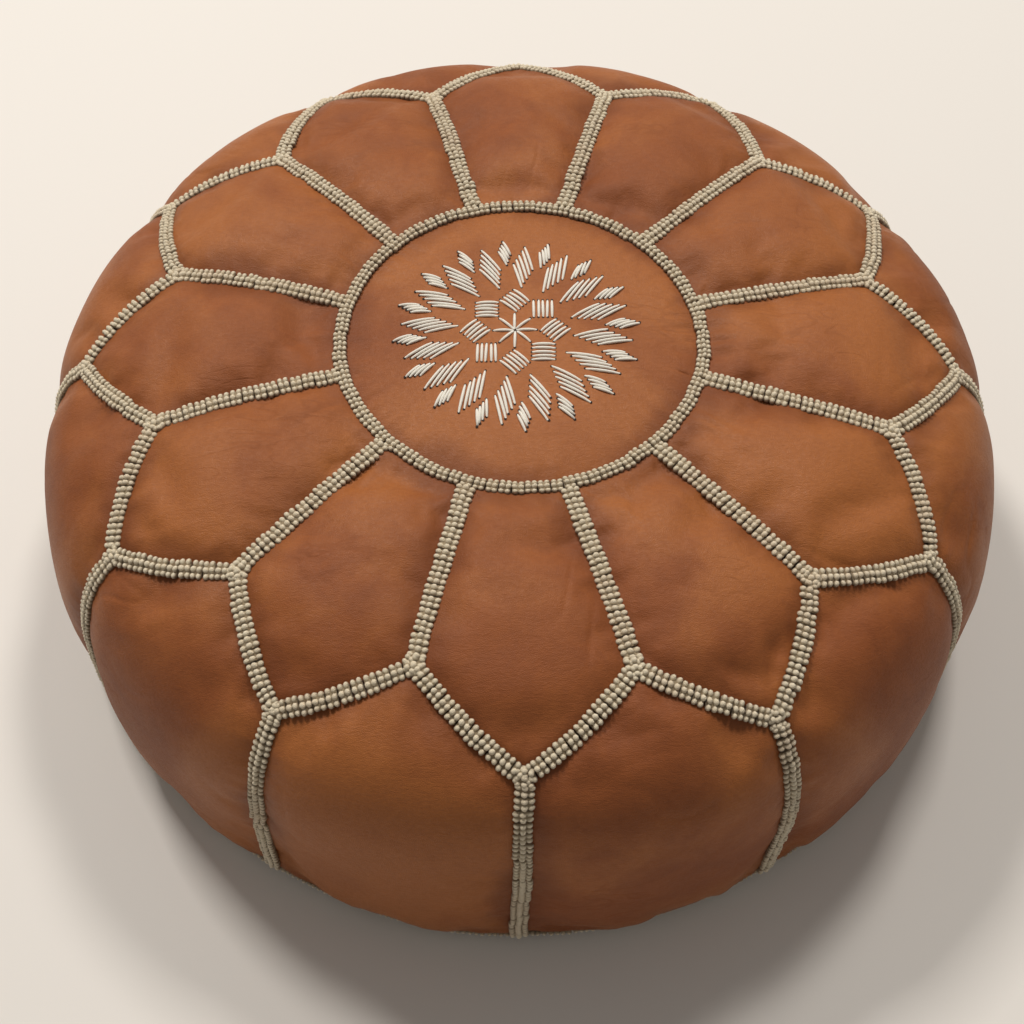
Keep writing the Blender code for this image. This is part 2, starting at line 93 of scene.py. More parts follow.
def take_new(name: str) -> bpy.types.Object:
    """Name the primitive that has just been added.

    Args:
        name: the piece's name.

    Returns:
        The active object, renamed.
    """
    thing = bpy.context.object
    thing.name = name
    thing.data.name = name
    return thing


def apply_modifiers(thing: bpy.types.Object) -> None:
    """Apply every modifier of an object, in order.

    Args:
        thing: the object whose modifiers are applied.
    """
    make_active(thing)
    for modifier in list(thing.modifiers):
        bpy.ops.object.modifier_apply(modifier=modifier.name)


def settle(thing: bpy.types.Object) -> None:
    """Put an object's place, turn and scale into its mesh."""
    make_active(thing)
    bpy.ops.object.transform_apply(location=True, rotation=True, scale=True)


def shade_smooth(thing: bpy.types.Object, angle: float = math.radians(60)) -> None:
    """Shade smooth, with edges sharper than an angle kept.

    Args:
        thing: the object to shade.
        angle: the sharpest edge that is still smoothed.
    """
    make_active(thing)
    bpy.ops.object.shade_smooth_by_angle(angle=angle)


def select_where(thing: bpy.types.Object, kind: str, test: Callable[[Vector, Vector], bool]) -> None:
    """Select faces or edges of the object in edit mode by their place, with everything else let go.

    Args:
        thing: the object, in edit mode.
        kind: "faces" or "edges".
        test: takes the middle and the normal of a face, or the middle and direction of an edge.
    """
    bpy.ops.mesh.select_mode(type="FACE" if kind == "faces" else "EDGE")
    bpy.ops.mesh.select_all(action="DESELECT")
    shape = bmesh.from_edit_mesh(thing.data)
    shape.normal_update()
    if kind == "faces":
        for face in shape.faces:
            face.select_set(test(face.calc_center_median(), face.normal))
    else:
        for edge in shape.edges:
            ends = [vert.co for vert in edge.verts]
            edge.select_set(test((ends[0] + ends[1]) / 2, (ends[1] - ends[0]).normalized()))
    bmesh.update_edit_mesh(thing.data)


def add_block(name: str, low: Sequence[float], high: Sequence[float]) -> bpy.types.Object:
    """Add a block between two corners, with its place in its mesh.

    Args:
        name: the block's name.
        low: its lowest corner.
        high: its highest corner.

    Returns:
        The block, selected and active.
    """
    deselect_all()
    middle = [(a + b) / 2 for a, b in zip(low, high)]
    bpy.ops.mesh.primitive_cube_add(size=1.0, location=middle)
    block = take_new(name)
    block.scale = [b - a for a, b in zip(low, high)]
    settle(block)
    return block


def soften_edges(offset: float, segments: int) -> None:
    """Bevel the selected edges, and leave edit mode."""
    bpy.ops.mesh.bevel(offset=offset, segments=segments)
    bpy.ops.object.mode_set(mode="OBJECT")


def cut_out(thing: bpy.types.Object, tool: bpy.types.Object) -> None:
    """Add the cut of one object out of another, to be applied with the rest."""
    cut = thing.modifiers.new(tool.name, "BOOLEAN")
    cut.operation = "DIFFERENCE"
    cut.solver = "EXACT"
    cut.object = tool


def join_all(pieces: Sequence[bpy.types.Object], name: str) -> bpy.types.Object:
    """Join several objects into the first.

    Args:
        pieces: the objects.
        name: the name of the whole.

    Returns:
        The joined object.
    """
    deselect_all()
    for piece in pieces:
        piece.select_set(True)
    bpy.context.view_layer.objects.active = pieces[0]
    bpy.ops.object.join()
    return take_new(name)


def take_pattern(thing: bpy.types.Object) -> tuple[np.ndarray, list[tuple[int, ...]]]:
    """Read a modelled shape's points and faces, and put the object away.

    Args:
        thing: the object.

    Returns:
        Its points and faces.
    """
    points = read_points(thing.data)
    faces = [tuple(face.vertices) for face in thing.data.polygons]
    bpy.data.objects.remove(thing)
    return points, faces


def lay_copies(name: str, pattern: tuple, places: Iterable[Matrix]) -> bpy.types.Object:
    """Lay copies of a modelled shape, all in one mesh.

    Args:
        name: the piece's name.
        pattern: the shape's points and faces.
        places: one matrix for each copy.

    Returns:
        The new object.
    """
    points, faces = pattern
    laid, corners = [], []
    for number, place in enumerate(places):
        turn = np.array(place.to_3x3())
        laid.append(points @ turn.T + np.array(place.translation))
        start = number * len(points)
        corners += [tuple(corner + start for corner in face) for face in faces]
    return mesh_object(name, np.concatenate(laid), corners)


def put_on(thing: bpy.types.Object, material: bpy.types.Material) -> None:
    """Give an object one material."""
    thing.data.materials.clear()
    thing.data.materials.append(material)


def mesh_object(name: str, points: np.ndarray, faces: Sequence[Sequence[int]]) -> bpy.types.Object:
    """Make an object from points and faces.

    Args:
        name: the piece's name.
        points: an array of points, one row each.
        faces: corner numbers of each face.

    Returns:
        The new object, at the origin.
    """
    mesh = bpy.data.meshes.new(name)
    mesh.from_pydata(points.tolist(), [], [list(face) for face in faces])
    mesh.update()
    thing = bpy.data.objects.new(name, mesh)
    bpy.context.scene.collection.objects.link(thing)
    return thing


def read_points(mesh: bpy.types.Mesh) -> np.ndarray:
    """The points of a mesh, one row each."""
    points = np.zeros(len(mesh.vertices) * 3)
    mesh.vertices.foreach_get("co", points)
    return points.reshape(-1, 3)


def write_points(mesh: bpy.types.Mesh, points: np.ndarray) -> None:
    """Move a mesh's points."""
    mesh.vertices.foreach_set("co", np.ascontiguousarray(points, dtype=np.float32).ravel())
    mesh.update()


def write_values(mesh: bpy.types.Mesh, label: str, values: np.ndarray) -> None:
    """Give a mesh one number at each point, for its finish to read."""
    layer = mesh.attributes.new(label, "FLOAT", "POINT")
    layer.data.foreach_set("value", np.asarray(values, np.float32))


def read_normals(mesh: bpy.types.Mesh) -> np.ndarray:
    """The point normals of a mesh, one row each."""
    normals = np.zeros(len(mesh.vertices) * 3)
    mesh.vertices.foreach_get("normal", normals)
    return normals.reshape(-1, 3)


def grid_faces(rows: int, columns: int, wrap: bool = False) -> list[tuple[int, int, int, int]]:
    """Faces of a grid whose points run row by row.

    Args:
        rows: rows of points.
        columns: points in a row.
        wrap: whether the last column joins the first.

    Returns:
        Corner numbers of each face, turning so that a grid that runs down and to the
        left has its face outwards.
    """
    last = columns if wrap else columns - 1
    faces = []
    for row in range(rows - 1):
        for column in range(last):
            after = (column + 1) % columns
            here = row * columns
            below = here + columns
            faces.append((here + column, below + column, below + after, here + after))
    return faces


def ride_on(thing: bpy.types.Object, body: str, nodes: Iterable[str] = ()) -> None:
    """Fasten a finished piece to its body.

    Args:
        thing: the finished piece.
        body: the body that it moves with.
        nodes: the frame's nodes that it stands for.
    """
    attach(thing, body)
    names = list(nodes)
    if names:
        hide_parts(*names)
    LOG.info("%s: %d faces", thing.name, len(thing.data.polygons))


# ---------------------------------------------------------------- finishes


class NodeBench:
    """A short way to lay and wire shader nodes in one tree."""

    def __init__(self, tree: bpy.types.NodeTree) -> None:
        """Work in this tree."""
        self.tree = tree

    def lay(self, kind: str, **settings: object) -> bpy.types.Node:
        """Add a node.

        Args:
            kind: the node's type name.
            settings: its properties.

        Returns:
            The new node.
        """
        node = self.tree.nodes.new(kind)
        for name, value in settings.items():
            setattr(node, name, value)
        return node

    def feed(self, node: bpy.types.Node, **sockets: object) -> bpy.types.Node:
        """Fill a node's inputs with values or links.

        Args:
            node: the node.
            sockets: input names, with _ for a space, and a value or an output socket for each.

        Returns:
            The same node.
        """
        for name, value in sockets.items():
            self.plug(node.inputs[name.replace("_", " ")], value)
        return node

    def plug(self, socket: bpy.types.NodeSocket, value: object) -> None:
        """Link an output to a socket, or set the socket's own value."""
        if isinstance(value, bpy.types.NodeSocket):
            self.tree.links.new(value, socket)
        else:
            socket.default_value = value

    def math(self, operation: str, first: object, second: object = 0.0) -> bpy.types.NodeSocket:
        """A sum of two numbers, as an output socket."""
        node = self.lay("ShaderNodeMath", operation=operation)
        self.plug(node.inputs[0], first)
        self.plug(node.inputs[1], second)
        return node.outputs[0]

    def remap(self, value: object, low: float, high: float, to_low: float = 0.0,
              to_high: float = 1.0) -> bpy.types.NodeSocket:
        """Map a span of values smoothly to another span.

        Args:
            value: the output socket to map.
            low: the value that gives to_low.
            high: the value that gives to_high.
            to_low: the result at low.
            to_high: the result at high.

        Returns:
            The mapped value's socket.
        """
        node = self.lay("ShaderNodeMapRange", interpolation_type="SMOOTHSTEP")
        self.plug(node.inputs["Value"], value)
        node.inputs["From Min"].default_value = low
        node.inputs["From Max"].default_value = high
        node.inputs["To Min"].default_value = to_low
        node.inputs["To Max"].default_value = to_high
        return node.outputs["Result"]

    def mix(self, share: object, first: object, second: object,
            blend: str = "MIX") -> bpy.types.NodeSocket:
        """Mix two colours.

        Args:
            share: the share of the second colour.
            first: a colour or a socket.
            second: a colour or a socket.
            blend: how they mix.

        Returns:
            The mixed colour's socket.
        """
        node = self.lay("ShaderNodeMix", data_type="RGBA", blend_type=blend)
        self.plug(node.inputs[0], share)
        self.plug(node.inputs[6], first)
        self.plug(node.inputs[7], second)
        return node.outputs[2]

    def noise(self, vector: object, scale: float, detail: float = 3.0, roughness: float = 0.5,
              distortion: float = 0.0) -> bpy.types.NodeSocket:
        """A noise value on a vector."""
        node = self.lay("ShaderNodeTexNoise")
        self.feed(node, Vector=vector, Scale=scale, Detail=detail, Roughness=roughness,
                  Distortion=distortion)
        return node.outputs["Fac"]


def new_group(name: str, inputs: dict[str, float], outputs: Sequence[str]) -> tuple:
    """Start a node group with named value sockets.

    Args:
        name: the group's name.
        inputs: each input's name and usual value.
        outputs: each output's name; a name that ends in colour gives a colour.

    Returns:
        The tree, its bench, its input node and its output node.
    """
    tree = bpy.data.node_groups.new(name, "ShaderNodeTree")
    tree.interface.new_socket(name="Vector", in_out="INPUT", socket_type="NodeSocketVector")
    for label, value in inputs.items():
        socket = tree.interface.new_socket(name=label, in_out="INPUT", socket_type="NodeSocketFloat")
        socket.default_value = value
    for label in outputs:
        kind = "NodeSocketColor" if label.endswith("colour") else "NodeSocketFloat"
        tree.interface.new_socket(name=label, in_out="OUTPUT", socket_type=kind)
    bench = NodeBench(tree)
    return tree, bench, bench.lay("NodeGroupInput"), bench.lay("NodeGroupOutput")


def grain_group() -> bpy.types.NodeTree:
    """Leather grain: ripples, pebbles, creases and soft dents, as one height and a mask of its valleys."""
    tree, bench, given, result = new_group("leather_grain", {"Ripple": 760.0, "Crease": 1.0},
                                           ["Height", "Valley"])
    vector = given.outputs["Vector"]
    drawn_out = bench.lay("ShaderNodeMapping")
    bench.plug(drawn_out.inputs["Vector"], vector)
    drawn_out.inputs["Rotation"].default_value = (0.2, 0.1, 0.25)
    drawn_out.inputs["Scale"].default_value = (0.36, 1.0, 0.9)
    ripple = bench.lay("ShaderNodeTexNoise")
    bench.feed(ripple, Vector=drawn_out.outputs[0], Scale=given.outputs["Ripple"], Detail=2.0,
               Roughness=0.45, Distortion=0.5)
    ripples = bench.remap(ripple.outputs["Fac"], 0.34, 0.64)
    cells = bench.lay("ShaderNodeTexVoronoi", feature="DISTANCE_TO_EDGE")
    bench.feed(cells, Vector=vector, Scale=1150.0)
    pebbles = bench.remap(cells.outputs["Distance"], 0.0, 0.30)
    fine = bench.noise(vector, 1700.0, 3.0, 0.6)
    folded = bench.noise(drawn_out.outputs[0], 74.0, 2.0, 0.5, 0.35)
    line = bench.remap(bench.math("ABSOLUTE", bench.math("SUBTRACT", folded, 0.5)), 0.0, 0.040)
    where = bench.remap(bench.noise(vector, 13.0, 2.0), 0.54, 0.70)
    crease = bench.math("MULTIPLY", bench.math("SUBTRACT", 1.0, line), where)
    crease = bench.math("MULTIPLY", crease, given.outputs["Crease"])
    dents = bench.noise(vector, 36.0, 3.0, 0.5)
    small = bench.math("ADD", bench.math("MULTIPLY", pebbles, 0.24), bench.math("MULTIPLY", fine, 0.16))
    small = bench.math("ADD", small, bench.math("MULTIPLY", ripples, 0.17))
    large = bench.math("SUBTRACT", bench.math("MULTIPLY", dents, 1.1), bench.math("MULTIPLY", crease, 0.34))
    bench.plug(result.inputs["Height"], bench.math("ADD", small, large))
    sunk = bench.math("SUBTRACT", small, bench.math("MULTIPLY", crease, 0.35))
    bench.plug(result.inputs["Valley"], bench.remap(sunk, -0.2, 0.62, 1.0, 0.0))
    return tree


def patches_group() -> bpy.types.NodeTree:
    """Uneven dye: three masks from broad patches down to small mottling."""
    tree, bench, given, result = new_group("dye_patches", {"Scale": 8.0}, ["Broad", "Mottle", "Speck"])
    vector = given.outputs["Vector"]
    broad = bench.lay("ShaderNodeTexNoise")
    bench.feed(broad, Vector=vector, Scale=given.outputs["Scale"], Detail=5.0, Roughness=0.55, Distortion=0.6)
    bench.plug(result.inputs["Broad"], bench.remap(broad.outputs["Fac"], 0.33, 0.68))
    mottle = bench.noise(vector, 42.0, 6.0, 0.65, 0.8)
    bench.plug(result.inputs["Mottle"], bench.remap(mottle, 0.30, 0.72))
    speck = bench.noise(vector, 420.0, 4.0, 0.7)
    bench.plug(result.inputs["Speck"], bench.remap(speck, 0.35, 0.75))
    return tree


def weave_group() -> bpy.types.NodeTree:
    """Twisted or woven thread: a height and a shade that change across the strands."""
    tree, bench, given, result = new_group("thread_weave", {"Scale": 1200.0}, ["Height", "Shade"])
    vector = given.outputs["Vector"]
    waves = bench.lay("ShaderNodeTexWave", wave_type="BANDS", bands_direction="DIAGONAL")
    bench.feed(waves, Vector=vector, Scale=given.outputs["Scale"], Distortion=2.2, Detail=2.0)
    waves.inputs["Detail Scale"].default_value = 1.4
    fuzz = bench.noise(vector, 2600.0, 2.0, 0.6)
    height = bench.math("ADD", waves.outputs["Fac"], bench.math("MULTIPLY", fuzz, 0.6))
    bench.plug(result.inputs["Height"], height)
    bench.plug(result.inputs["Shade"], bench.remap(height, 0.1, 1.4))
    return tree


@dataclass(frozen=True)
class Finish:
    """What every finish has: a name and a rough gloss."""

    name: str
    roughness: float

    def start(self) -> tuple[bpy.types.Material, NodeBench, bpy.types.Node, bpy.types.NodeSocket]:
        """Make the material.

        Returns:
            The material, its bench, its shader and the object coordinates.
        """
        material = bpy.data.materials.new(self.name)
        material.use_nodes = True
        bench = NodeBench(material.node_tree)
        shader = material.node_tree.nodes["Principled BSDF"]
        shader.inputs["Roughness"].default_value = self.roughness
        place = bench.lay("ShaderNodeTexCoord").outputs["Object"]
        return material, bench, shader, place


@dataclass(frozen=True)
class LeatherFinish(Finish):
    """Vegetable-tanned leather with uneven dye, grain and darker seams, painted shade in its grain's valleys
    and a painted shadow under the braids' edges.
    """

    light: tuple[float, float, float] = (0.405, 0.138, 0.037)
    warm: tuple[float, float, float] = (0.300, 0.090, 0.026)
    deep: tuple[float, float, float] = (0.150, 0.042, 0.015)
    # Painted shadow colour for the leather under the braids' edges.
    braid_edge_shade: tuple[float, float, float] = (0.030, 0.011, 0.006)
    grain_depth: float = 0.00034

    def build(self, grain: bpy.types.NodeTree, patches: bpy.types.NodeTree) -> bpy.types.Material:
        """Make the leather.

        Args:
            grain: the leather grain group.
            patches: the uneven dye group.

        Returns:
            The material.
        """
        material, bench, shader, place = self.start()
        height = bench.lay("ShaderNodeGroup", node_tree=grain)
        bench.feed(height, Vector=place)
        dye = bench.lay("ShaderNodeGroup", node_tree=patches)
        bench.feed(dye, Vector=place, Scale=7.5)
        tone = bench.lay("ShaderNodeAttribute", attribute_name="panel_tone").outputs["Fac"]
        gap = bench.lay("ShaderNodeAttribute", attribute_name="seam_gap").outputs["Fac"]
        broad = bench.math("ADD", dye.outputs["Broad"], tone)
        colour = bench.mix(bench.remap(broad, 0.0, 1.05), (*self.light, 1.0), (*self.warm, 1.0))
        mottled = bench.math("MULTIPLY", dye.outputs["Mottle"], bench.remap(broad, 0.1, 1.2, 0.06, 0.42))
        colour = bench.mix(mottled, colour, (*self.deep, 1.0))
        speckled = bench.math("MULTIPLY", dye.outputs["Speck"], 0.16)
        colour = bench.mix(speckled, colour, (*self.deep, 1.0))
        # Painted shade: darker in the grain's valleys and creases.
        valleys = bench.math("MULTIPLY", height.outputs["Valley"], 0.30)
        colour = bench.mix(valleys, colour, (*self.deep, 1.0))
        uneven = bench.remap(bench.noise(place, 15.0, 3.0, 0.6), 0.25, 0.75, -0.010, 0.012)
        reach = bench.math("ADD", gap, uneven)
        colour = bench.mix(bench.remap(reach, -0.002, 0.020, 0.62, 0.0), colour, (*self.deep, 1.0))
        # Painted shadow: nearly black where the leather runs in under the braids' edges.
        colour = bench.mix(bench.remap(gap, 0.0024, 0.0046, 0.90, 0.0), colour, (*self.braid_edge_shade, 1.0))
        bench.plug(shader.inputs["Base Color"], colour)
        gloss = bench.math("ADD", bench.remap(height.outputs["Valley"], 0.0, 1.0, -0.05, 0.10),
                           bench.remap(dye.outputs["Broad"], 0.0, 1.0, -0.04, 0.06))
        bench.plug(shader.inputs["Roughness"], bench.math("ADD", gloss, self.roughness))
        bump = bench.lay("ShaderNodeBump")
        bench.feed(bump, Height=height.outputs["Height"], Strength=1.0, Distance=self.grain_depth)
        bench.plug(shader.inputs["Normal"], bump.outputs["Normal"])
        shader.inputs["Specular IOR Level"].default_value = 0.20
        return material


@dataclass(frozen=True)
class ThreadFinish(Finish):
    """Twisted thread, lighter on its strands than between them as painted shade, and on knots darker deep
    down as painted shade.
    """

    light: tuple[float, float, float] = (0.80, 0.70, 0.50)
    dark: tuple[float, float, float] = (0.52, 0.42, 0.26)
    soiled: tuple[float, float, float] = (0.58, 0.42, 0.28)
    # Painted shade colour for the hollows deep in a knot.
    crevice_shade: tuple[float, float, float] = (0.21, 0.14, 0.072)
    strand_scale: float = 620.0
    strand_depth: float = 0.00022
    knotted: bool = False

    def build(self, weave: bpy.types.NodeTree) -> bpy.types.Material:
        """Make the thread.

        Args:
            weave: the thread group.

        Returns:
            The material.
        """
        material, bench, shader, place = self.start()
        strands = bench.lay("ShaderNodeGroup", node_tree=weave)
        bench.feed(strands, Vector=place, Scale=self.strand_scale)
        colour = bench.mix(strands.outputs["Shade"], (*self.dark, 1.0), (*self.light, 1.0))
        dirt = bench.remap(bench.noise(place, 24.0, 4.0, 0.6), 0.45, 0.78, 0.0, 0.55)
        colour = bench.mix(dirt, colour, (*self.soiled, 1.0))
        if self.knotted:
            # Painted shade: darker deep in a knot and at its lobes' ends, where shade falls between the
            # lobes.
            depth = bench.lay("ShaderNodeAttribute", attribute_name="knot_lit").outputs["Fac"]
            tint = bench.lay("ShaderNodeAttribute", attribute_name="knot_tint").outputs["Fac"]
            colour = bench.mix(bench.remap(depth, 0.20, 0.70, 0.92, 0.0), colour, (*self.crevice_shade, 1.0))
            colour = bench.mix(bench.math("MULTIPLY", tint, 0.30), colour, (*self.dark, 1.0))
        bench.plug(shader.inputs["Base Color"], colour)
        bump = bench.lay("ShaderNodeBump")
        bench.feed(bump, Height=strands.outputs["Height"], Strength=1.0, Distance=self.strand_depth)
        bench.plug(shader.inputs["Normal"], bump.outputs["Normal"])
        shader.inputs["Sheen Weight"].default_value = 0.25
        shader.inputs["Specular IOR Level"].default_value = 0.25
        return material


@dataclass(frozen=True)
class MetalFinish(Finish):
    """Brushed and slightly worn brass."""

    bright: tuple[float, float, float] = (0.72, 0.52, 0.22)
    worn: tuple[float, float, float] = (0.42, 0.28, 0.11)

    def build(self) -> bpy.types.Material:
        """Make the metal.

        Returns:
            The material.
        """
        material, bench, shader, place = self.start()
        tarnish = bench.remap(bench.noise(place, 260.0, 4.0, 0.6), 0.35, 0.75)
        bench.plug(shader.inputs["Base Color"], bench.mix(tarnish, (*self.bright, 1.0), (*self.worn, 1.0)))
        bench.plug(shader.inputs["Roughness"],
                   bench.remap(tarnish, 0.0, 1.0, self.roughness, self.roughness + 0.25))
        shader.inputs["Metallic"].default_value = 1.0
        return material


@dataclass
class Workshop:
    """Every finish that the pouf needs, made once."""

    leather: bpy.types.Material = field(init=False)
    braid: bpy.types.Material = field(init=False)
    floss: bpy.types.Material = field(init=False)
    tape: bpy.types.Material = field(init=False)
    brass: bpy.types.Material = field(init=False)
    cotton: bpy.types.Material = field(init=False)
    fibre: bpy.types.Material = field(init=False)
    hole_shadow: bpy.types.Material = field(init=False)

    def __post_init__(self) -> None:
        """Mix the finishes."""
        grain = grain_group()
        patches = patches_group()
        weave = weave_group()
        self.leather = LeatherFinish("tan leather", 0.47).build(grain, patches)
        self.braid = ThreadFinish("cream braid", 0.78, light=(0.93, 0.84, 0.66), dark=(0.70, 0.59, 0.41),
                                  soiled=(0.72, 0.54, 0.38), knotted=True).build(weave)
        self.floss = ThreadFinish("white floss", 0.6, light=(0.97, 0.94, 0.86), dark=(0.86, 0.80, 0.69),
                                  soiled=(0.88, 0.82, 0.72), strand_scale=900.0,
                                  strand_depth=0.00012).build(weave)
        self.tape = ThreadFinish("zip tape", 0.9, light=(0.11, 0.06, 0.035), dark=(0.05, 0.026, 0.015),
                                 soiled=(0.07, 0.045, 0.03)).build(weave)
        self.cotton = ThreadFinish("liner cotton", 0.9, light=(0.74, 0.69, 0.58), dark=(0.60, 0.55, 0.44),
                                   soiled=(0.62, 0.55, 0.44)).build(weave)
        self.fibre = ThreadFinish("filling fibre", 1.0, light=(0.80, 0.78, 0.72), dark=(0.64, 0.61, 0.55),
                                  soiled=(0.66, 0.62, 0.55)).build(weave)
        self.brass = MetalFinish("zip brass", 0.28).build()
        # Near black: painted shade inside the needle holes.
        self.hole_shadow = ThreadFinish("needle hole", 0.9, light=(0.035, 0.014, 0.008),
                                        dark=(0.02, 0.008, 0.005), soiled=(0.03, 0.012, 0.007)).build(weave)


# ---------------------------------------------------------------- the seam surface


@dataclass
class SeamSurface:
    """The body of revolution that every seam lies on, with the small wander of hand work."""

    waist_radius: float = 0.277
    waist_height: float = 0.030
    crown_rise: float = 0.162
    base_drop: float = 0.0318
    upper_power: float = 4.6
    lower_power: float = 6.0
    ring_radius: float = 0.1005
    shoulder_radius: float = 0.206
    tip_radius: float = 0.248
    base_ring_height: float = 0.010
    wander: float = 0.0022
    wander_scale: float = 9.0
    sway: float = 0.0035
    sway_scale: float = 3.6
    steps: int = 600

    def __post_init__(self) -> None:
        """Measure the profile once, and read off the seams' distances from the crown."""
        share = np.linspace(1.0, -1.0, 2 * self.steps + 1)
        turn = np.pi / 2 * share * np.abs(share) ** 0.8
        power = np.where(share >= 0, self.upper_power, self.lower_power)
        cosine = np.clip(np.cos(turn), 0.0, 1.0)
        radius = self.waist_radius * cosine ** (2 / power)
        sine = np.abs(np.sin(turn)) ** (2 / power)
        upper = self.waist_height + self.crown_rise * sine
        lower = np.maximum(0.0, self.waist_height - self.base_drop * sine)
        self._radius = radius
        self._height = np.where(share >= 0, upper, lower)
        run = np.hypot(np.diff(self._radius), np.diff(self._height))
        self._distance = np.concatenate([[0.0], np.cumsum(run)])
        self.ring = self._to_radius(self.ring_radius)
        self.shoulder = self._to_radius(self.shoulder_radius)
        self.tip = self._to_radius(self.tip_radius)
        self.base_ring = float(np.interp(-self.base_ring_height, -self._height, self._distance))

    def _to_radius(self, radius: float) -> float:
        """Distance from the crown out to a radius on the top."""
        top = self.steps
        return float(np.interp(radius, self._radius[:top], self._distance[:top]))

    def radius_at(self, distance: np.ndarray) -> np.ndarray:
        """Radius at a distance from the crown."""
        return np.interp(distance, self._distance, self._radius)

    def under_height(self, points: np.ndarray) -> np.ndarray:
        """Height of the underside's curve over each point; below zero where it is flattened."""
        radius = np.minimum(np.hypot(points[:, 0], points[:, 1]) / self.waist_radius, 1.0)
        drop = self.base_drop * (1.0 - radius ** self.lower_power) ** (1 / self.lower_power)
        return self.waist_height - drop

    def zigzag(self, azimuth: np.ndarray) -> np.ndarray:
        """Distance of the zigzag seam at each azimuth.

        Args:
            azimuth: azimuths in radians.

        Returns:
            The distance from the crown at each.
        """
        share = np.abs(np.mod(np.asarray(azimuth) / SECTOR, 1.0) - 0.5) * 2
        return self.shoulder + (self.tip - self.shoulder) * share

    def place(self, azimuth: np.ndarray, distance: np.ndarray,
              lift: float | np.ndarray = 0.0) -> tuple[np.ndarray, np.ndarray]:
        """Points and outward normals of the surface.

        Args:
            azimuth: azimuths in radians.
            distance: distances from the crown along the surface.
            lift: how far above the surface the points stand.

        Returns:
            The points and the normals, one row each.
        """
        azimuth, distance = np.broadcast_arrays(np.asarray(azimuth, float), np.asarray(distance, float))
        reach = 0.0015
        before = (np.interp(distance - reach, self._distance, self._radius),
                  np.interp(distance - reach, self._distance, self._height))
        after = (np.interp(distance + reach, self._distance, self._radius),
                 np.interp(distance + reach, self._distance, self._height))
        out = before[1] - after[1]
        up = after[0] - before[0]
        size = np.maximum(np.hypot(out, up), 1e-9)
        out, up = out / size, up / size
        radius = np.interp(distance, self._distance, self._radius)
        height = np.interp(distance, self._distance, self._height)
        cosine, sine = np.cos(azimuth), np.sin(azimuth)
        points = np.stack([radius * cosine, radius * sine, height], axis=-1).reshape(-1, 3)
        normals = np.stack([out * cosine, out * sine, up], axis=-1).reshape(-1, 3)
        points = points + self.wander_at(points)
        return points + normals * np.broadcast_to(np.reshape(lift, (-1, 1)), (len(points), 1)), normals

    def wander_at(self, points: np.ndarray) -> np.ndarray:
        """How far hand sewing and soft stuffing move each point."""
        moves = np.zeros_like(points)
        for row, point in enumerate(points):
            spot = Vector(point)
            small = noise.noise_vector(spot * self.wander_scale + Vector((3.1, 0.4, 7.7)))
            broad = noise.noise_vector(spot * self.sway_scale + Vector((11.3, 5.2, 1.9)))
            moves[row] = small * self.wander + broad * self.sway
        moves[:, 2] *= np.clip(points[:, 2] / 0.03, 0.0, 1.0)
        return moves


@dataclass(frozen=True)
class SeamRun:
    """One seam as a line on the surface: azimuth and distance at each point."""

    name: str
    azimuth: np.ndarray
    distance: np.ndarray
    closed: bool = False


class SeamPlan:
    """Every seam of the cover."""

    def __init__(self, surface: SeamSurface, fineness: float = 0.0015) -> None:
        """Draw the seams.

        Args:
            surface: the surface that they lie on.
            fineness: the spacing of points along a seam.
        """
        self.surface = surface
        self.fineness = fineness
        turns = np.linspace(0, math.tau, 1200, endpoint=False)
        self.ring = SeamRun("ring", turns, np.full_like(turns, surface.ring), closed=True)
        self.zigzag = SeamRun("zigzag", turns, surface.zigzag(turns), closed=True)
        self.base = SeamRun("base", turns, np.full_like(turns, surface.base_ring), closed=True)
        self.radials = [self._straight(f"radial_{n}", SECTOR * (n + 0.5), surface.ring, surface.shoulder)
                        for n in range(SECTORS)]
        self.sides = [self._straight(f"side_{n}", SECTOR * (n + 1), surface.tip, surface.base_ring)
                      for n in range(SECTORS)]

    def _straight(self, name: str, azimuth: float, first: float, last: float) -> SeamRun:
        """A seam straight down the surface."""
        count = int((last - first) / self.fineness) + 2
        return SeamRun(name, np.full(count, azimuth), np.linspace(first, last, count))

    def everything(self) -> list[SeamRun]:
        """All the seams."""
        return [self.ring, self.zigzag, self.base, *self.radials, *self.sides]

    def tree(self, seams: Sequence[SeamRun] = ()) -> tuple[kdtree.KDTree, np.ndarray]:
        """A search tree over seams.

        Args:
            seams: the seams, or none for all.

        Returns:
            The tree, and how far along its seam each point of it is, in metres.
        """
        points, along = [], []
        for number, seam in enumerate(seams or self.everything()):
            spots, _ = self.surface.place(seam.azimuth, seam.distance)
            points.append(spots)
            steps = np.linalg.norm(np.diff(spots, axis=0), axis=1)
            along.append(np.concatenate([[0.0], np.cumsum(steps)]) + 10.0 * number)
        joined = np.concatenate(points)
        found = kdtree.KDTree(len(joined))
        for number, point in enumerate(joined):
            found.insert(point, number)
        found.balance()
        return found, np.concatenate(along)


# ---------------------------------------------------------------- leather cover


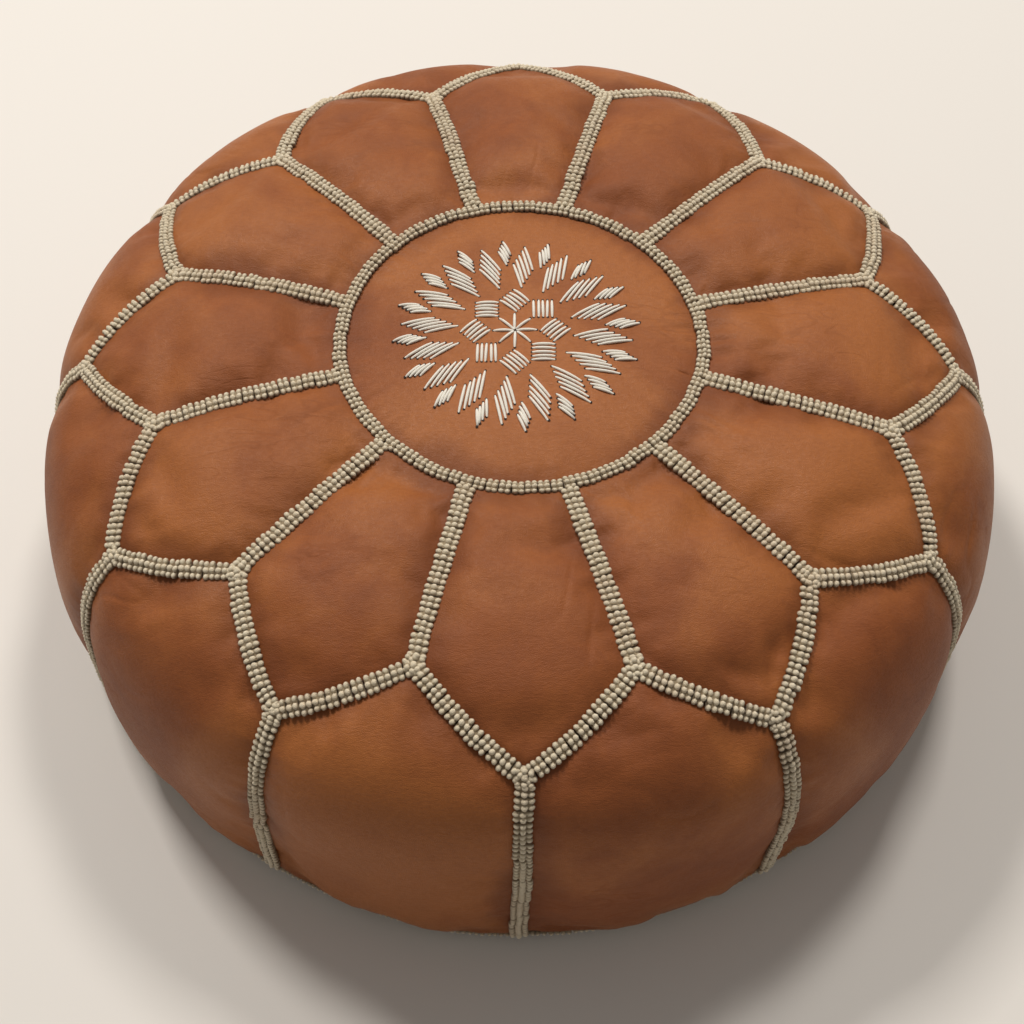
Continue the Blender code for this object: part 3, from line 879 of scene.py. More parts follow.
@dataclass
class LeatherCover:
    """The stuffed leather cover, blown up in one piece and cut into its panels."""

    CLOTH: ClassVar[dict[str, float]] = {
        "quality": 7, "mass": 0.15, "air_damping": 2.0, "tension_stiffness": 25.0,
        "compression_stiffness": 12.0, "shear_stiffness": 8.0, "bending_stiffness": 0.35,
        "tension_damping": 8.0, "compression_damping": 8.0, "shear_damping": 8.0}

    surface: SeamSurface
    plan: SeamPlan
    leather: bpy.types.Material
    columns: int = 22
    petal_rows: int = 20
    side_rows: int = 30
    medallion_rows: int = 16
    thickness: float = 0.0016
    growth: float = 0.05
    pressure: float = 9.0
    frames: int = 26
    petal_cap: float = 0.0118
    side_cap: float = 0.0082
    petal_swell: float = 0.011
    side_swell: float = 0.009
    swell_power: float = 0.45
    lump_scale: float = 26.0
    lump_depth: float = 0.0022
    rise_length: float = 0.0135
    floor_clearance: float = 0.0001
    start_puff: float = 0.006
    pucker_depth: float = 0.0007
    pucker_scales: tuple[float, float] = (150.0, 22.0)
    pucker_from_seam: float = 0.009
    pucker_width: float = 0.008
    crease_depth: float = 0.0012
    crease_scales: tuple[float, float, float] = (16.0, 62.0, 40.0)
    crease_sharpness: float = 4.5
    crease_patches: float = 11.0
    crease_from_seam: float = 0.02
    tone_spread: float = 0.35
    medallion_columns: int = 14
    medallion_lift: float = 0.0045
    medallion_hub: float = 0.06
    medallion_crowding: float = 0.85
    fineness: int = 2

    def build(self) -> None:
        """Blow up the skin, cut it and finish every panel."""
        rows, columns = self._lay_skin()
        shape = (rows.size, columns.size, 3)
        flat, normals = self._skin_points(rows, columns)
        swollen = self._blow_up(flat, normals, shape)
        tree, along = self.plan.tree()
        swollen = self._cap(flat, swollen, shape)
        grid = swollen.reshape(shape)
        zig = self.petal_rows
        for number in range(SECTORS):
            first = number * self.columns + self.columns // 2
            wide = [(first + step) % columns.size for step in range(self.columns + 1)]
            self._finish_panel(f"petal_{number + 1:02d}", grid[:zig + 1][:, wide], tree, along)
            first = number * self.columns
            wide = [(first + step) % columns.size for step in range(self.columns + 1)]
            self._finish_panel(f"side_panel_{number + 1:02d}", grid[zig:][:, wide], tree, along)
        self._finish_medallion(tree, along)

    def _lay_skin(self) -> tuple[np.ndarray, np.ndarray]:
        """Row numbers and column azimuths of the skin's grid."""
        rows = np.arange(self.petal_rows + self.side_rows + 1)
        columns = np.linspace(0, math.tau, SECTORS * self.columns, endpoint=False)
        return rows, columns

    def _distances(self, rows: np.ndarray, columns: np.ndarray) -> np.ndarray:
        """Distance from the crown at each row and column."""
        zigzag = self.surface.zigzag(columns)[None, :]
        share = rows[:, None] / self.petal_rows
        upper = self.surface.ring + (zigzag - self.surface.ring) * share
        fall = (rows[:, None] - self.petal_rows) / self.side_rows
        lower = zigzag + (self.surface.base_ring - zigzag) * fall
        return np.where(rows[:, None] <= self.petal_rows, upper, lower)

    def _skin_points(self, rows: np.ndarray, columns: np.ndarray) -> tuple[np.ndarray, np.ndarray]:
        """The flat skin's points and normals."""
        distance = self._distances(rows, columns)
        azimuth = np.broadcast_to(columns[None, :], distance.shape)
        return self.surface.place(azimuth.ravel(), distance.ravel())

    def _seam_mask(self, rows: np.ndarray, columns: np.ndarray) -> np.ndarray:
        """True where a grid point lies on a seam."""
        mask = np.zeros((rows.size, columns.size), bool)
        mask[[0, self.petal_rows, -1], :] = True
        step = np.arange(columns.size) % self.columns
        mask[:self.petal_rows, step == self.columns // 2] = True
        mask[self.petal_rows:, step == 0] = True
        return mask

    def _guess_puff(self, rows: np.ndarray, columns: np.ndarray) -> np.ndarray:
        step = np.arange(columns.size) % self.columns / self.columns
        petal = np.mod(step + 0.5, 1.0)
        upper = rows[:, None] <= self.petal_rows
        down = np.where(upper, rows[:, None] / self.petal_rows,
                        (rows[:, None] - self.petal_rows) / self.side_rows)
        across = np.where(upper, petal[None, :], step[None, :])
        swell = np.clip(16 * across * (1 - across) * down * (1 - down), 0.0, 1.0) ** self.swell_power
        return swell * np.where(upper, self.petal_swell, self.side_swell)

    def _blow_up(self, flat: np.ndarray, normals: np.ndarray, shape: tuple[int, int, int]) -> np.ndarray:
        """Simulate the skin as cloth, held on its seams and pressed from inside.

        Args:
            flat: the skin before stuffing.
            normals: its outward normals.
            shape: rows, columns and 3.

        Returns:
            The stuffed skin's points.
        """
        rows, columns = self._lay_skin()
        mask = self._seam_mask(rows, columns).ravel()
        start = self.start_puff * (self._guess_puff(rows, columns).ravel() / self.petal_swell)
        lumps = np.array([noise.noise(Vector(point) * self.lump_scale) for point in flat]) * self.lump_depth
        begin = flat + normals * np.where(mask, 0.0, start + lumps * (start > 0.001))[:, None]
        skin = mesh_object("stuffed_skin", begin, grid_faces(shape[0], shape[1], wrap=True))
        held = skin.vertex_groups.new(name="seams")
        held.add([int(number) for number in np.flatnonzero(mask)], 1.0, "REPLACE")
        cloth = skin.modifiers.new("stuffing", "CLOTH")
        settings = cloth.settings
        for label, value in self.CLOTH.items():
            setattr(settings, label, value)
        settings.vertex_group_mass = "seams"
        settings.shrink_min = -self.growth
        settings.use_pressure = True
        settings.uniform_pressure_force = self.pressure
        settings.effector_weights.gravity = 0.0
        cloth.collision_settings.use_collision = False
        cloth.point_cache.frame_start = 1
        cloth.point_cache.frame_end = self.frames
        scene = bpy.context.scene
        for moment in range(1, self.frames + 1):
            scene.frame_set(moment)
        apply_modifiers(skin)
        result = read_points(skin.data)
        scene.frame_set(1)
        bpy.data.objects.remove(skin)
        moved = np.linalg.norm(result - flat, axis=1)
        LOG.info("stuffing moved the skin by %.1f mm at most", 1000 * moved.max())
        return result

    def _cap(self, flat: np.ndarray, swollen: np.ndarray, shape: tuple[int, int, int]) -> np.ndarray:
        """Keep every point within its panel's cap of the seam surface, and low beside the braids.

        Args:
            flat: the skin before stuffing.
            swollen: the skin after it.
            shape: rows, columns and 3.

        Returns:
            The kept points.
        """
        rows = np.repeat(np.arange(shape[0]), shape[1])
        plan = self.plan
        tree, _ = plan.tree([plan.ring, plan.zigzag, *plan.radials, *plan.sides])
        gaps = np.array([tree.find(point)[2] for point in flat])
        share = 1.0 - np.exp(-(gaps / self.rise_length) ** 1.5)
        limit = np.where(rows <= self.petal_rows, self.petal_cap, self.side_cap) * share + 1e-5
        move = swollen - flat
        size = np.linalg.norm(move, axis=1)
        soft = limit * np.tanh(size / limit)
        return flat + move * (soft / np.maximum(size, 1e-9))[:, None]

    def _finish_panel(self, node: str, grid: np.ndarray, tree: kdtree.KDTree, along: np.ndarray) -> None:
        """Turn a grid of points into a finished panel.

        Args:
            node: the frame's node that the panel stands for.
            grid: its points by row and column.
            tree: the search tree over the seams.
            along: how far along its seam each point of the tree is.
        """
        rows, columns = grid.shape[:2]
        panel = mesh_object(f"{node}_leather", grid.reshape(-1, 3), grid_faces(rows, columns))
        self.dress(panel, node, tree, along)

    def _finish_medallion(self, tree: kdtree.KDTree, along: np.ndarray) -> None:
        """Make the round panel in the middle, nearly flat."""
        count = SECTORS * self.medallion_columns
        azimuth = np.linspace(0, math.tau, count, endpoint=False)
        shares = np.linspace(1.0, self.medallion_hub, self.medallion_rows) ** self.medallion_crowding
        rings = []
        for share in shares:
            lift = self.medallion_lift * (1 - share ** 6)
            points, _ = self.surface.place(azimuth, self.surface.ring * share, lift)
            rings.append(points)
        hub, _ = self.surface.place(np.zeros(1), np.zeros(1) + 0.0005, self.medallion_lift)
        points = np.concatenate([*rings, hub])
        faces = []
        for row in range(len(shares) - 1):
            for step in range(count):
                after = (step + 1) % count
                here, below = row * count, (row + 1) * count
                faces.append((here + step, here + after, below + after, below + step))
        last = (len(shares) - 1) * count
        faces += [(last + step, last + (step + 1) % count, len(points) - 1) for step in range(count)]
        panel = mesh_object("medallion_leather", points, faces)
        self.dress(panel, "medallion", tree, along)

    def dress(self, panel: bpy.types.Object, node: str, tree: kdtree.KDTree, along: np.ndarray) -> None:
        """Refine a panel, pucker it along its seams, give it its thickness and its leather."""
        smooth = panel.modifiers.new("smooth", "SUBSURF")
        smooth.levels = self.fineness
        smooth.render_levels = self.fineness
        apply_modifiers(panel)
        self._pucker(panel, node, tree, along)
        wall = panel.modifiers.new("leather", "SOLIDIFY")
        wall.thickness = self.thickness
        wall.offset = -1.0
        apply_modifiers(panel)
        shade_smooth(panel)
        put_on(panel, self.leather)
        ride_on(panel, COVER, [node])

    def _pucker(self, panel: bpy.types.Object, node: str, tree: kdtree.KDTree, along: np.ndarray) -> None:
        """Small gathers beside the seams and soft creases further in, and the seam attributes."""
        mesh = panel.data
        points = read_points(mesh)
        normals = read_normals(mesh)
        gaps = np.zeros(len(points))
        heights = np.zeros(len(points))
        seed = Vector((sum(ord(letter) for letter in node) % 97, 0.0, 0.0))
        lie = Matrix.Rotation(seed.x, 3, "Z")
        stretch = Vector(self.crease_scales)
        run, reach = self.pucker_scales
        for row, point in enumerate(points):
            _, found, gap = tree.find(point)
            gaps[row] = gap
            spot = Vector(point)
            gather = noise.noise(Vector((along[found] * run, gap * reach, 0.3)))
            crease = noise.noise((lie @ spot) * stretch + seed)
            ridge = 1.0 - min(1.0, abs(crease) * self.crease_sharpness)
            edge = math.exp(-((gap - self.pucker_from_seam) / self.pucker_width) ** 2)
            strength = max(0.0, noise.noise(spot * self.crease_patches + seed))
            clear = min(1.0, gap / self.crease_from_seam)
            heights[row] = (self.pucker_depth * gather * edge
                            - self.crease_depth * ridge ** 2 * strength * clear)
        points = points + normals * heights[:, None]
        points[:, 2] = np.maximum(points[:, 2], self.floor_clearance)
        write_points(mesh, points)
        tone = self.tone_spread * noise.noise(seed * 3.7 + Vector((0.5, 0.2, 0.1)))
        write_values(mesh, "seam_gap", gaps)
        write_values(mesh, "panel_tone", np.full(len(points), tone))


# ---------------------------------------------------------------- braids


@dataclass
class BraidKnot:
    """One knot of the braid: a low core under three lobes across and two along."""

    width: float = 0.0099
    length: float = 0.0067
    height: float = 0.0043
    across: int = 3
    along: int = 2
    lobe_sides: int = 7
    lobe_rings: int = 4

    def model(self) -> tuple[np.ndarray, list[tuple[int, ...]]]:
        """Model the knot with its middle on the seam, x across, y along and z out.

        Returns:
            Its points and faces.
        """
        lobes = [self._core()]
        for column in range(self.across):
            for row in range(self.along):
                lobes.append(self._lobe(column - (self.across - 1) / 2, row - (self.along - 1) / 2))
        knot = join_all(lobes, "braid_knot")
        settle(knot)
        return take_pattern(knot)

    def _core(self) -> bpy.types.Object:
        """The wadding of thread between the lobes."""
        deselect_all()
        bpy.ops.mesh.primitive_cube_add(size=1.0, location=(0.0, 0.0, self.height * 0.26))
        core = take_new("knot_core")
        core.scale = (self.width * 0.76, self.length * 0.90, self.height * 0.50)
        return core

    def _lobe(self, side: float, end: float) -> bpy.types.Object:
        """One lobe of thread, rounded on top and cut flat underneath."""
        middle = side == 0
        radius = self.width / self.across * 0.60
        deselect_all()
        bpy.ops.mesh.primitive_uv_sphere_add(segments=self.lobe_sides, ring_count=self.lobe_rings, radius=1.0)
        lobe = take_new("knot_lobe")
        bpy.ops.object.mode_set(mode="EDIT")
        bpy.ops.mesh.select_all(action="SELECT")
        bpy.ops.mesh.bisect(plane_co=(0.0, 0.0, -0.05), plane_no=(0.0, 0.0, 1.0), use_fill=True,
                            clear_inner=True)
        bpy.ops.object.mode_set(mode="OBJECT")
        lobe.scale = (radius, self.length * 0.272, self.height * (0.60 if middle else 0.56))
        lobe.location = (side * self.width * 0.324, end * self.length * 0.47,
                         self.height * (0.42 if middle else 0.26))
        lobe.rotation_euler = (-end * 0.30, side * 0.42, 0.0)
        return lobe


@dataclass
class Braids:
    """All the braids, laid knot by knot along the seams."""

    surface: SeamSurface
    plan: SeamPlan
    thread: bpy.types.Material
    pitch: float = 0.0068
    half_width: float = 0.0051
    raise_by: float = 0.0004
    base_raise: float = -0.0012
    ring_share: float = 0.76
    junction_reach: float = 0.0035
    # How much painted shade darkens the ends of a knot's lobes.
    end_shade: float = 0.42
    size_jitter: float = 0.06
    turn_jitter: float = 0.09
    shift_jitter: float = 0.00025
    bow: tuple[float, float, float] = (0.0, 0.00022, 0.00012)
    bow_scale: float = 520.0

    def build(self) -> None:
        """Lay every braid."""
        knot = BraidKnot().model()
        crown = [self.plan.ring] + [self._trimmed(seam, self.half_width * 0.35, self.half_width * 0.55)
                                    for seam in self.plan.radials]
        self._lay("crown_braid", crown, knot, ["crown_braid"])
        self._lay("zigzag_braid", [self.plan.zigzag, *self._junctions()], knot, ["zigzag_braid"])
        for number, seam in enumerate(self.plan.sides):
            trimmed = self._trimmed(seam, self.half_width * 0.55, self.half_width * 0.9)
            name = f"side_braid_{number + 1:02d}"
            self._lay(name, [trimmed], knot, [name])
        self._lay("base_braid", [self.plan.base], knot, ["base_braid"])

    def _junctions(self) -> list[SeamRun]:
        """A short seam for a pair of knots at every corner of the zigzag."""
        corners = []
        for number in range(2 * SECTORS):
            azimuth = number * SECTOR / 2
            distance = float(self.surface.zigzag(np.array([azimuth]))[0])
            reach = np.array([-self.junction_reach, self.junction_reach])
            corners.append(SeamRun("junction", np.full(2, azimuth), distance + reach))
        return corners

    def _trimmed(self, seam: SeamRun, start: float, end: float) -> SeamRun:
        """A seam with a length taken off each end."""
        keep = (seam.distance >= seam.distance[0] + start) & (seam.distance <= seam.distance[-1] - end)
        return SeamRun(seam.name, seam.azimuth[keep], seam.distance[keep], seam.closed)

    def _stations(self, seam: SeamRun) -> tuple[np.ndarray, np.ndarray, np.ndarray]:
        """Evenly spaced places for the knots of a seam.

        Args:
            seam: the seam.

        Returns:
            Points, directions along the seam, and outward normals, one row each.
        """
        azimuth, distance = seam.azimuth, seam.distance
        if seam.closed:
            azimuth = np.append(azimuth, azimuth[0] + math.tau)
            distance = np.append(distance, distance[0])
        points, normals = self.surface.place(azimuth, distance)
        steps = np.linalg.norm(np.diff(points, axis=0), axis=1)
        run = np.concatenate([[0.0], np.cumsum(steps)])
        count = max(2, round(run[-1] / self.pitch))
        where = (np.arange(count) + 0.5) * run[-1] / count
        spots = np.stack([np.interp(where, run, points[:, axis]) for axis in range(3)], axis=1)
        ups = np.stack([np.interp(where, run, normals[:, axis]) for axis in range(3)], axis=1)
        reach = self.pitch * 0.5
        ahead = np.stack([np.interp(where + reach, run, points[:, axis]) for axis in range(3)], axis=1)
        behind = np.stack([np.interp(where - reach, run, points[:, axis]) for axis in range(3)], axis=1)
        return spots, ahead - behind, ups

    def _lit_share(self, pattern: np.ndarray) -> np.ndarray:
        """How lit each point of a knot is painted, the rest being painted shade: most on top of a lobe, least
        at its ends and deep down.

        Args:
            pattern: the knot's points.

        Returns:
            One value for each point, up to 1.
        """
        half = pattern[:, 1].max()
        from_middle = np.abs(np.abs(pattern[:, 1]) - half * 0.47) / (half * 0.53)
        return pattern[:, 2] / pattern[:, 2].max() - self.end_shade * from_middle ** 2

    def _lay(self, name: str, seams: Sequence[SeamRun], knot: tuple, nodes: Sequence[str]) -> None:
        """Lay one braid over its seams.

        Args:
            name: the braid's name.
            seams: the seams that it covers.
            knot: the modelled knot's points and faces.
            nodes: the frame's nodes that it stands for.
        """
        dice = np.random.default_rng(sum(ord(letter) for letter in name))
        pattern, faces = knot
        lighting = self._lit_share(pattern)
        lift = self.base_raise if name == "base_braid" else self.raise_by
        all_points, all_faces, lit_values, tints = [], [], [], []
        for seam in seams:
            spots, directions, ups = self._stations(seam)
            for spot, direction, up in zip(spots, directions, ups):
                along = Vector(direction).normalized()
                out = Vector(up).normalized()
                across = along.cross(out).normalized()
                out = across.cross(along).normalized()
                turn = Matrix((across, along, out)).transposed()
                turn = turn @ Matrix.Rotation(dice.uniform(-1, 1) * self.turn_jitter, 3, "Z")
                size = 1 + self.size_jitter * dice.uniform(-1, 1, 3)
                size[0] *= self.ring_share if seam is self.plan.ring else 1.0
                size[0] *= dice.choice((-1, 1))
                wave = np.sin(pattern[:, :1] * self.bow_scale + dice.uniform(0, 6.3))
                shaped = (pattern + wave * np.array([self.bow])) * size
                shift = np.array(across) * dice.normal(0, self.shift_jitter)
                placed = shaped @ np.array(turn).T + np.array(spot) + np.array(out) * lift + shift
                start = len(all_points) * len(pattern)
                all_points.append(placed)
                lit_values.append(lighting)
                tints.append(np.full(len(pattern), dice.uniform()))
                order = 1 if size[0] > 0 else -1
                all_faces += [tuple(corner + start for corner in face[::order]) for face in faces]
        braid = mesh_object(f"{name}_knots", np.concatenate(all_points), all_faces)
        shade_smooth(braid, math.radians(75))
        # The first attribute carries the knots' painted shade; the second a random tone.
        for label, values in (("knot_lit", lit_values), ("knot_tint", tints)):
            write_values(braid.data, label, np.concatenate(values))
        put_on(braid, self.thread)
        ride_on(braid, COVER, nodes)


# ---------------------------------------------------------------- embroidery


@dataclass(frozen=True)
class Stitch:
    """One straight stitch on the medallion, from one needle hole to the other."""

    start: tuple[float, float]
    end: tuple[float, float]


@dataclass
class Embroidery:
    """The star of straight stitches in the middle of the medallion."""

    surface: SeamSurface
    floss: bpy.types.Material
    # The finish of the painted shade in the needle holes.
    hole: bpy.types.Material
    first_ray: float = math.radians(0.0)
    leaf_turn: float = math.radians(-6.0)
    stitch_lean: float = math.radians(19.0)
    row_lean: float = math.radians(-20.0)
    thread_radius: float = 0.00088
    bow: float = 0.0009
    sides: int = 6
    spans: int = 5
    lift: float = 0.0046
    centre: tuple[float, float] = (-0.0023, 0.0021)
    share: float = 0.965

    def build(self) -> None:
        """Sew the star and prick its needle holes."""
        stitches = self._rays() + self._squares() + self._long_leaves() + self._small_leaves()
        self._sew(stitches)
        self._prick(stitches)

    def _reach(self, share: float) -> float:
        """A radius as a share of the ring's."""
        return share * self.surface.ring_radius

    def _row(self, middle: tuple[float, float], length: float, lean: float, count: int,
             spacing: float, walk: float) -> list[Stitch]:
        """A row of parallel stitches.

        Args:
            middle: the middle of the row.
            length: each stitch's length.
            lean: the stitches' direction.
            count: how many stitches.
            spacing: the distance between neighbours.
            walk: the direction in which the row goes on.

        Returns:
            The stitches.
        """
        stitches = []
        for number in range(count):
            off = (number - (count - 1) / 2) * spacing
            x = middle[0] + off * math.cos(walk)
            y = middle[1] + off * math.sin(walk)
            dx = length / 2 * math.cos(lean)
            dy = length / 2 * math.sin(lean)
            stitches.append(Stitch((x - dx, y - dy), (x + dx, y + dy)))
        return stitches

    def _around(self, count: int, radius: float, offset: float = 0.0) -> list[tuple[float, float, float]]:
        """Places round the star: azimuth, x and y."""
        places = []
        for number in range(count):
            azimuth = self.first_ray + offset + math.tau * number / count
            places.append((azimuth, radius * math.cos(azimuth), radius * math.sin(azimuth)))
        return places

    def _rays(self) -> list[Stitch]:
        """Eight rays from the middle."""
        inner, outer = self._reach(0.010), self._reach(0.125)
        return [Stitch((inner * math.cos(a), inner * math.sin(a)), (outer * math.cos(a), outer * math.sin(a)))
                for a, _, _ in self._around(8, outer)]

    def _squares(self) -> list[Stitch]:
        """Eight squares of five stitches, each with a corner towards the middle."""
        stitches = []
        side = self._reach(0.130)
        for number, (azimuth, x, y) in enumerate(self._around(8, self._reach(0.228))):
            lean = azimuth + math.pi / 4
            stitches += self._row((x, y), side, lean, 5, side / 4.9, lean + math.pi / 2)
        return stitches

    def _leaves(self, radius: float, turn: float, length: float, count: int, spread: float) -> list[Stitch]:
        """Sixteen leaning leaves at one radius.

        Args:
            radius: the leaves' middle, as a share of the ring's radius.
            turn: how far they are turned round the star.
            length: each stitch's length, as a share.
            count: stitches in a leaf.
            spread: the row's length, as a share.

        Returns:
            The stitches.
        """
        stitches = []
        for azimuth, x, y in self._around(16, self._reach(radius), turn):
            step = self._reach(spread) / (count - 1)
            stitches += self._row((x, y), self._reach(length), azimuth + self.stitch_lean, count, step,
                                  azimuth + self.row_lean)
        return stitches

    def _long_leaves(self) -> list[Stitch]:
        """Long leaves of five stitches."""
        return self._leaves(0.497, self.leaf_turn, 0.195, 5, 0.150)

    def _small_leaves(self) -> list[Stitch]:
        """Small leaves of four stitches between the tips of the long ones."""
        return self._leaves(0.610, self.leaf_turn + math.pi / 16, 0.120, 4, 0.085)

    def _at(self, spot: tuple[float, float], lift: float) -> Vector:
        """A point above the medallion."""
        x, y = (value * self.share + shift for value, shift in zip(spot, self.centre))
        points, _ = self.surface.place(np.array([math.atan2(y, x)]), np.array([math.hypot(x, y)]), lift)
        return Vector(points[0])

    def _sew(self, stitches: Sequence[Stitch]) -> None:
        """Lay a bowed thread for every stitch."""
        dice = np.random.default_rng(41)
        points, faces = [], []
        for stitch in stitches:
            shift = dice.normal(0, 0.00022, 4)
            start = self._at((stitch.start[0] + shift[0], stitch.start[1] + shift[1]), self.lift)
            end = self._at((stitch.end[0] + shift[2], stitch.end[1] + shift[3]), self.lift)
            along = (end - start).normalized()
            across = along.cross(Vector((0.0, 0.0, 1.0))).normalized()
            base = len(points)
            for span in range(self.spans + 1):
                share = span / self.spans
                rise = self.bow * math.sin(math.pi * share) ** 0.5 - 0.0004
                middle = start.lerp(end, share) + Vector((0.0, 0.0, rise))
                radius = self.thread_radius * (0.72 + 0.28 * math.sin(math.pi * share))
                for side in range(self.sides):
                    turn = math.tau * side / self.sides
                    points.append(middle + across * radius * math.cos(turn)
                                  + Vector((0.0, 0.0, radius * math.sin(turn))))
            for span in range(self.spans):
                for side in range(self.sides):
                    after = (side + 1) % self.sides
                    here = base + span * self.sides
                    faces.append((here + side, here + self.sides + side,
                                  here + self.sides + after, here + after))
            faces.append(tuple(base + side for side in range(self.sides)))
            faces.append(tuple(base + self.spans * self.sides + side for side in reversed(range(self.sides))))
        sewn = mesh_object("medallion_embroidery_stitches", np.array(points), faces)
        shade_smooth(sewn, math.radians(70))
        put_on(sewn, self.floss)
        ride_on(sewn, COVER, ["medallion_embroidery"])

    def _prick(self, stitches: Sequence[Stitch]) -> None:
        """Lay a small dark disc at both ends of every stitch: painted shade inside each needle hole."""
        deselect_all()
        bpy.ops.mesh.primitive_cylinder_add(vertices=8, radius=0.00075, depth=0.0006)
        pattern = take_pattern(take_new("dimple"))
        places = [Matrix.Translation(self._at(spot, self.lift - 0.0002))
                  for stitch in stitches for spot in (stitch.start, stitch.end)]
        holes = lay_copies("medallion_needle_holes", pattern, places)
        put_on(holes, self.hole)
        ride_on(holes, COVER)


# ---------------------------------------------------------------- base and zip


@dataclass
class BaseHalves:
    """The two halves of the base: flat on the floor, raised along the zip and at the rim."""

    surface: SeamSurface
    cover: LeatherCover
    hem: float = 0.007
    channel_height: float = 0.0066
    channel_flat: float = 0.0165
    channel_foot: float = 0.027
    end_reach: float = 0.010
    columns: int = 72
    rows: int = 24
    row_crowding: float = 1.7
    slack: float = 0.0011
    slack_scale: float = 17.0

    def build(self) -> None:
        """Lay both halves."""
        tree, along = self.cover.plan.tree()
        for node, side in (("base_half_front", -1.0), ("base_half_back", 1.0)):
            self._half(node, side, tree, along)

    def _heights(self, points: np.ndarray) -> np.ndarray:
        """Height of the base leather's outer face over each point."""
        rim = np.maximum(0.0, self.surface.under_height(points))
        share = (self.channel_foot - np.abs(points[:, 1])) / (self.channel_foot - self.channel_flat)
        share = np.clip(share, 0.0, 1.0)
        channel = self.channel_height * share * share * (3 - 2 * share)
        lumps = np.array([noise.noise(Vector((x, y, 2.7)) * self.slack_scale) for x, y, _ in points])
        slack = self.slack * np.clip(lumps + 0.1, 0.0, 1.0) * (1.0 - share)
        return np.maximum(rim, channel) + slack

    def _half(self, node: str, side: float, tree: kdtree.KDTree, along: np.ndarray) -> None:
        """Lay one half.

        Args:
            node: the frame's node that it stands for.
            side: -1 for the front, 1 for the back.
            tree: the search tree over the seams.
            along: how far along its seam each point of the tree is.
        """
        surface = self.surface
        rim_radius = float(surface.radius_at(surface.base_ring))
        first = math.asin(self.end_reach / rim_radius)
        azimuth = np.linspace(first, math.pi - first, self.columns) * side
        rim = np.stack([rim_radius * np.cos(azimuth), rim_radius * np.sin(azimuth),
                        np.full(self.columns, surface.base_ring_height)], axis=1)
        hem = rim.copy()
        hem[:, 1] = side * self.hem
        share = (np.linspace(0, 1, self.rows) ** self.row_crowding)[:, None, None]
        points = (hem[None] * (1 - share) + rim[None] * share).reshape(-1, 3)
        points[:, 2] = self._heights(points)
        radius = np.hypot(points[:, 0], points[:, 1])
        near_rim = np.clip((radius - 0.18) / 0.07, 0.0, 1.0)[:, None]
        points = points + surface.wander_at(points) * near_rim
        faces = grid_faces(self.rows, self.columns)
        if side < 0:
            faces = [face[::-1] for face in faces]
        half = mesh_object(f"{node}_leather", points, faces)
        half.data.update()
        if half.data.polygons[len(faces) // 2].normal.z > 0:
            half.data.flip_normals()
        self.cover.dress(half, node, tree, along)


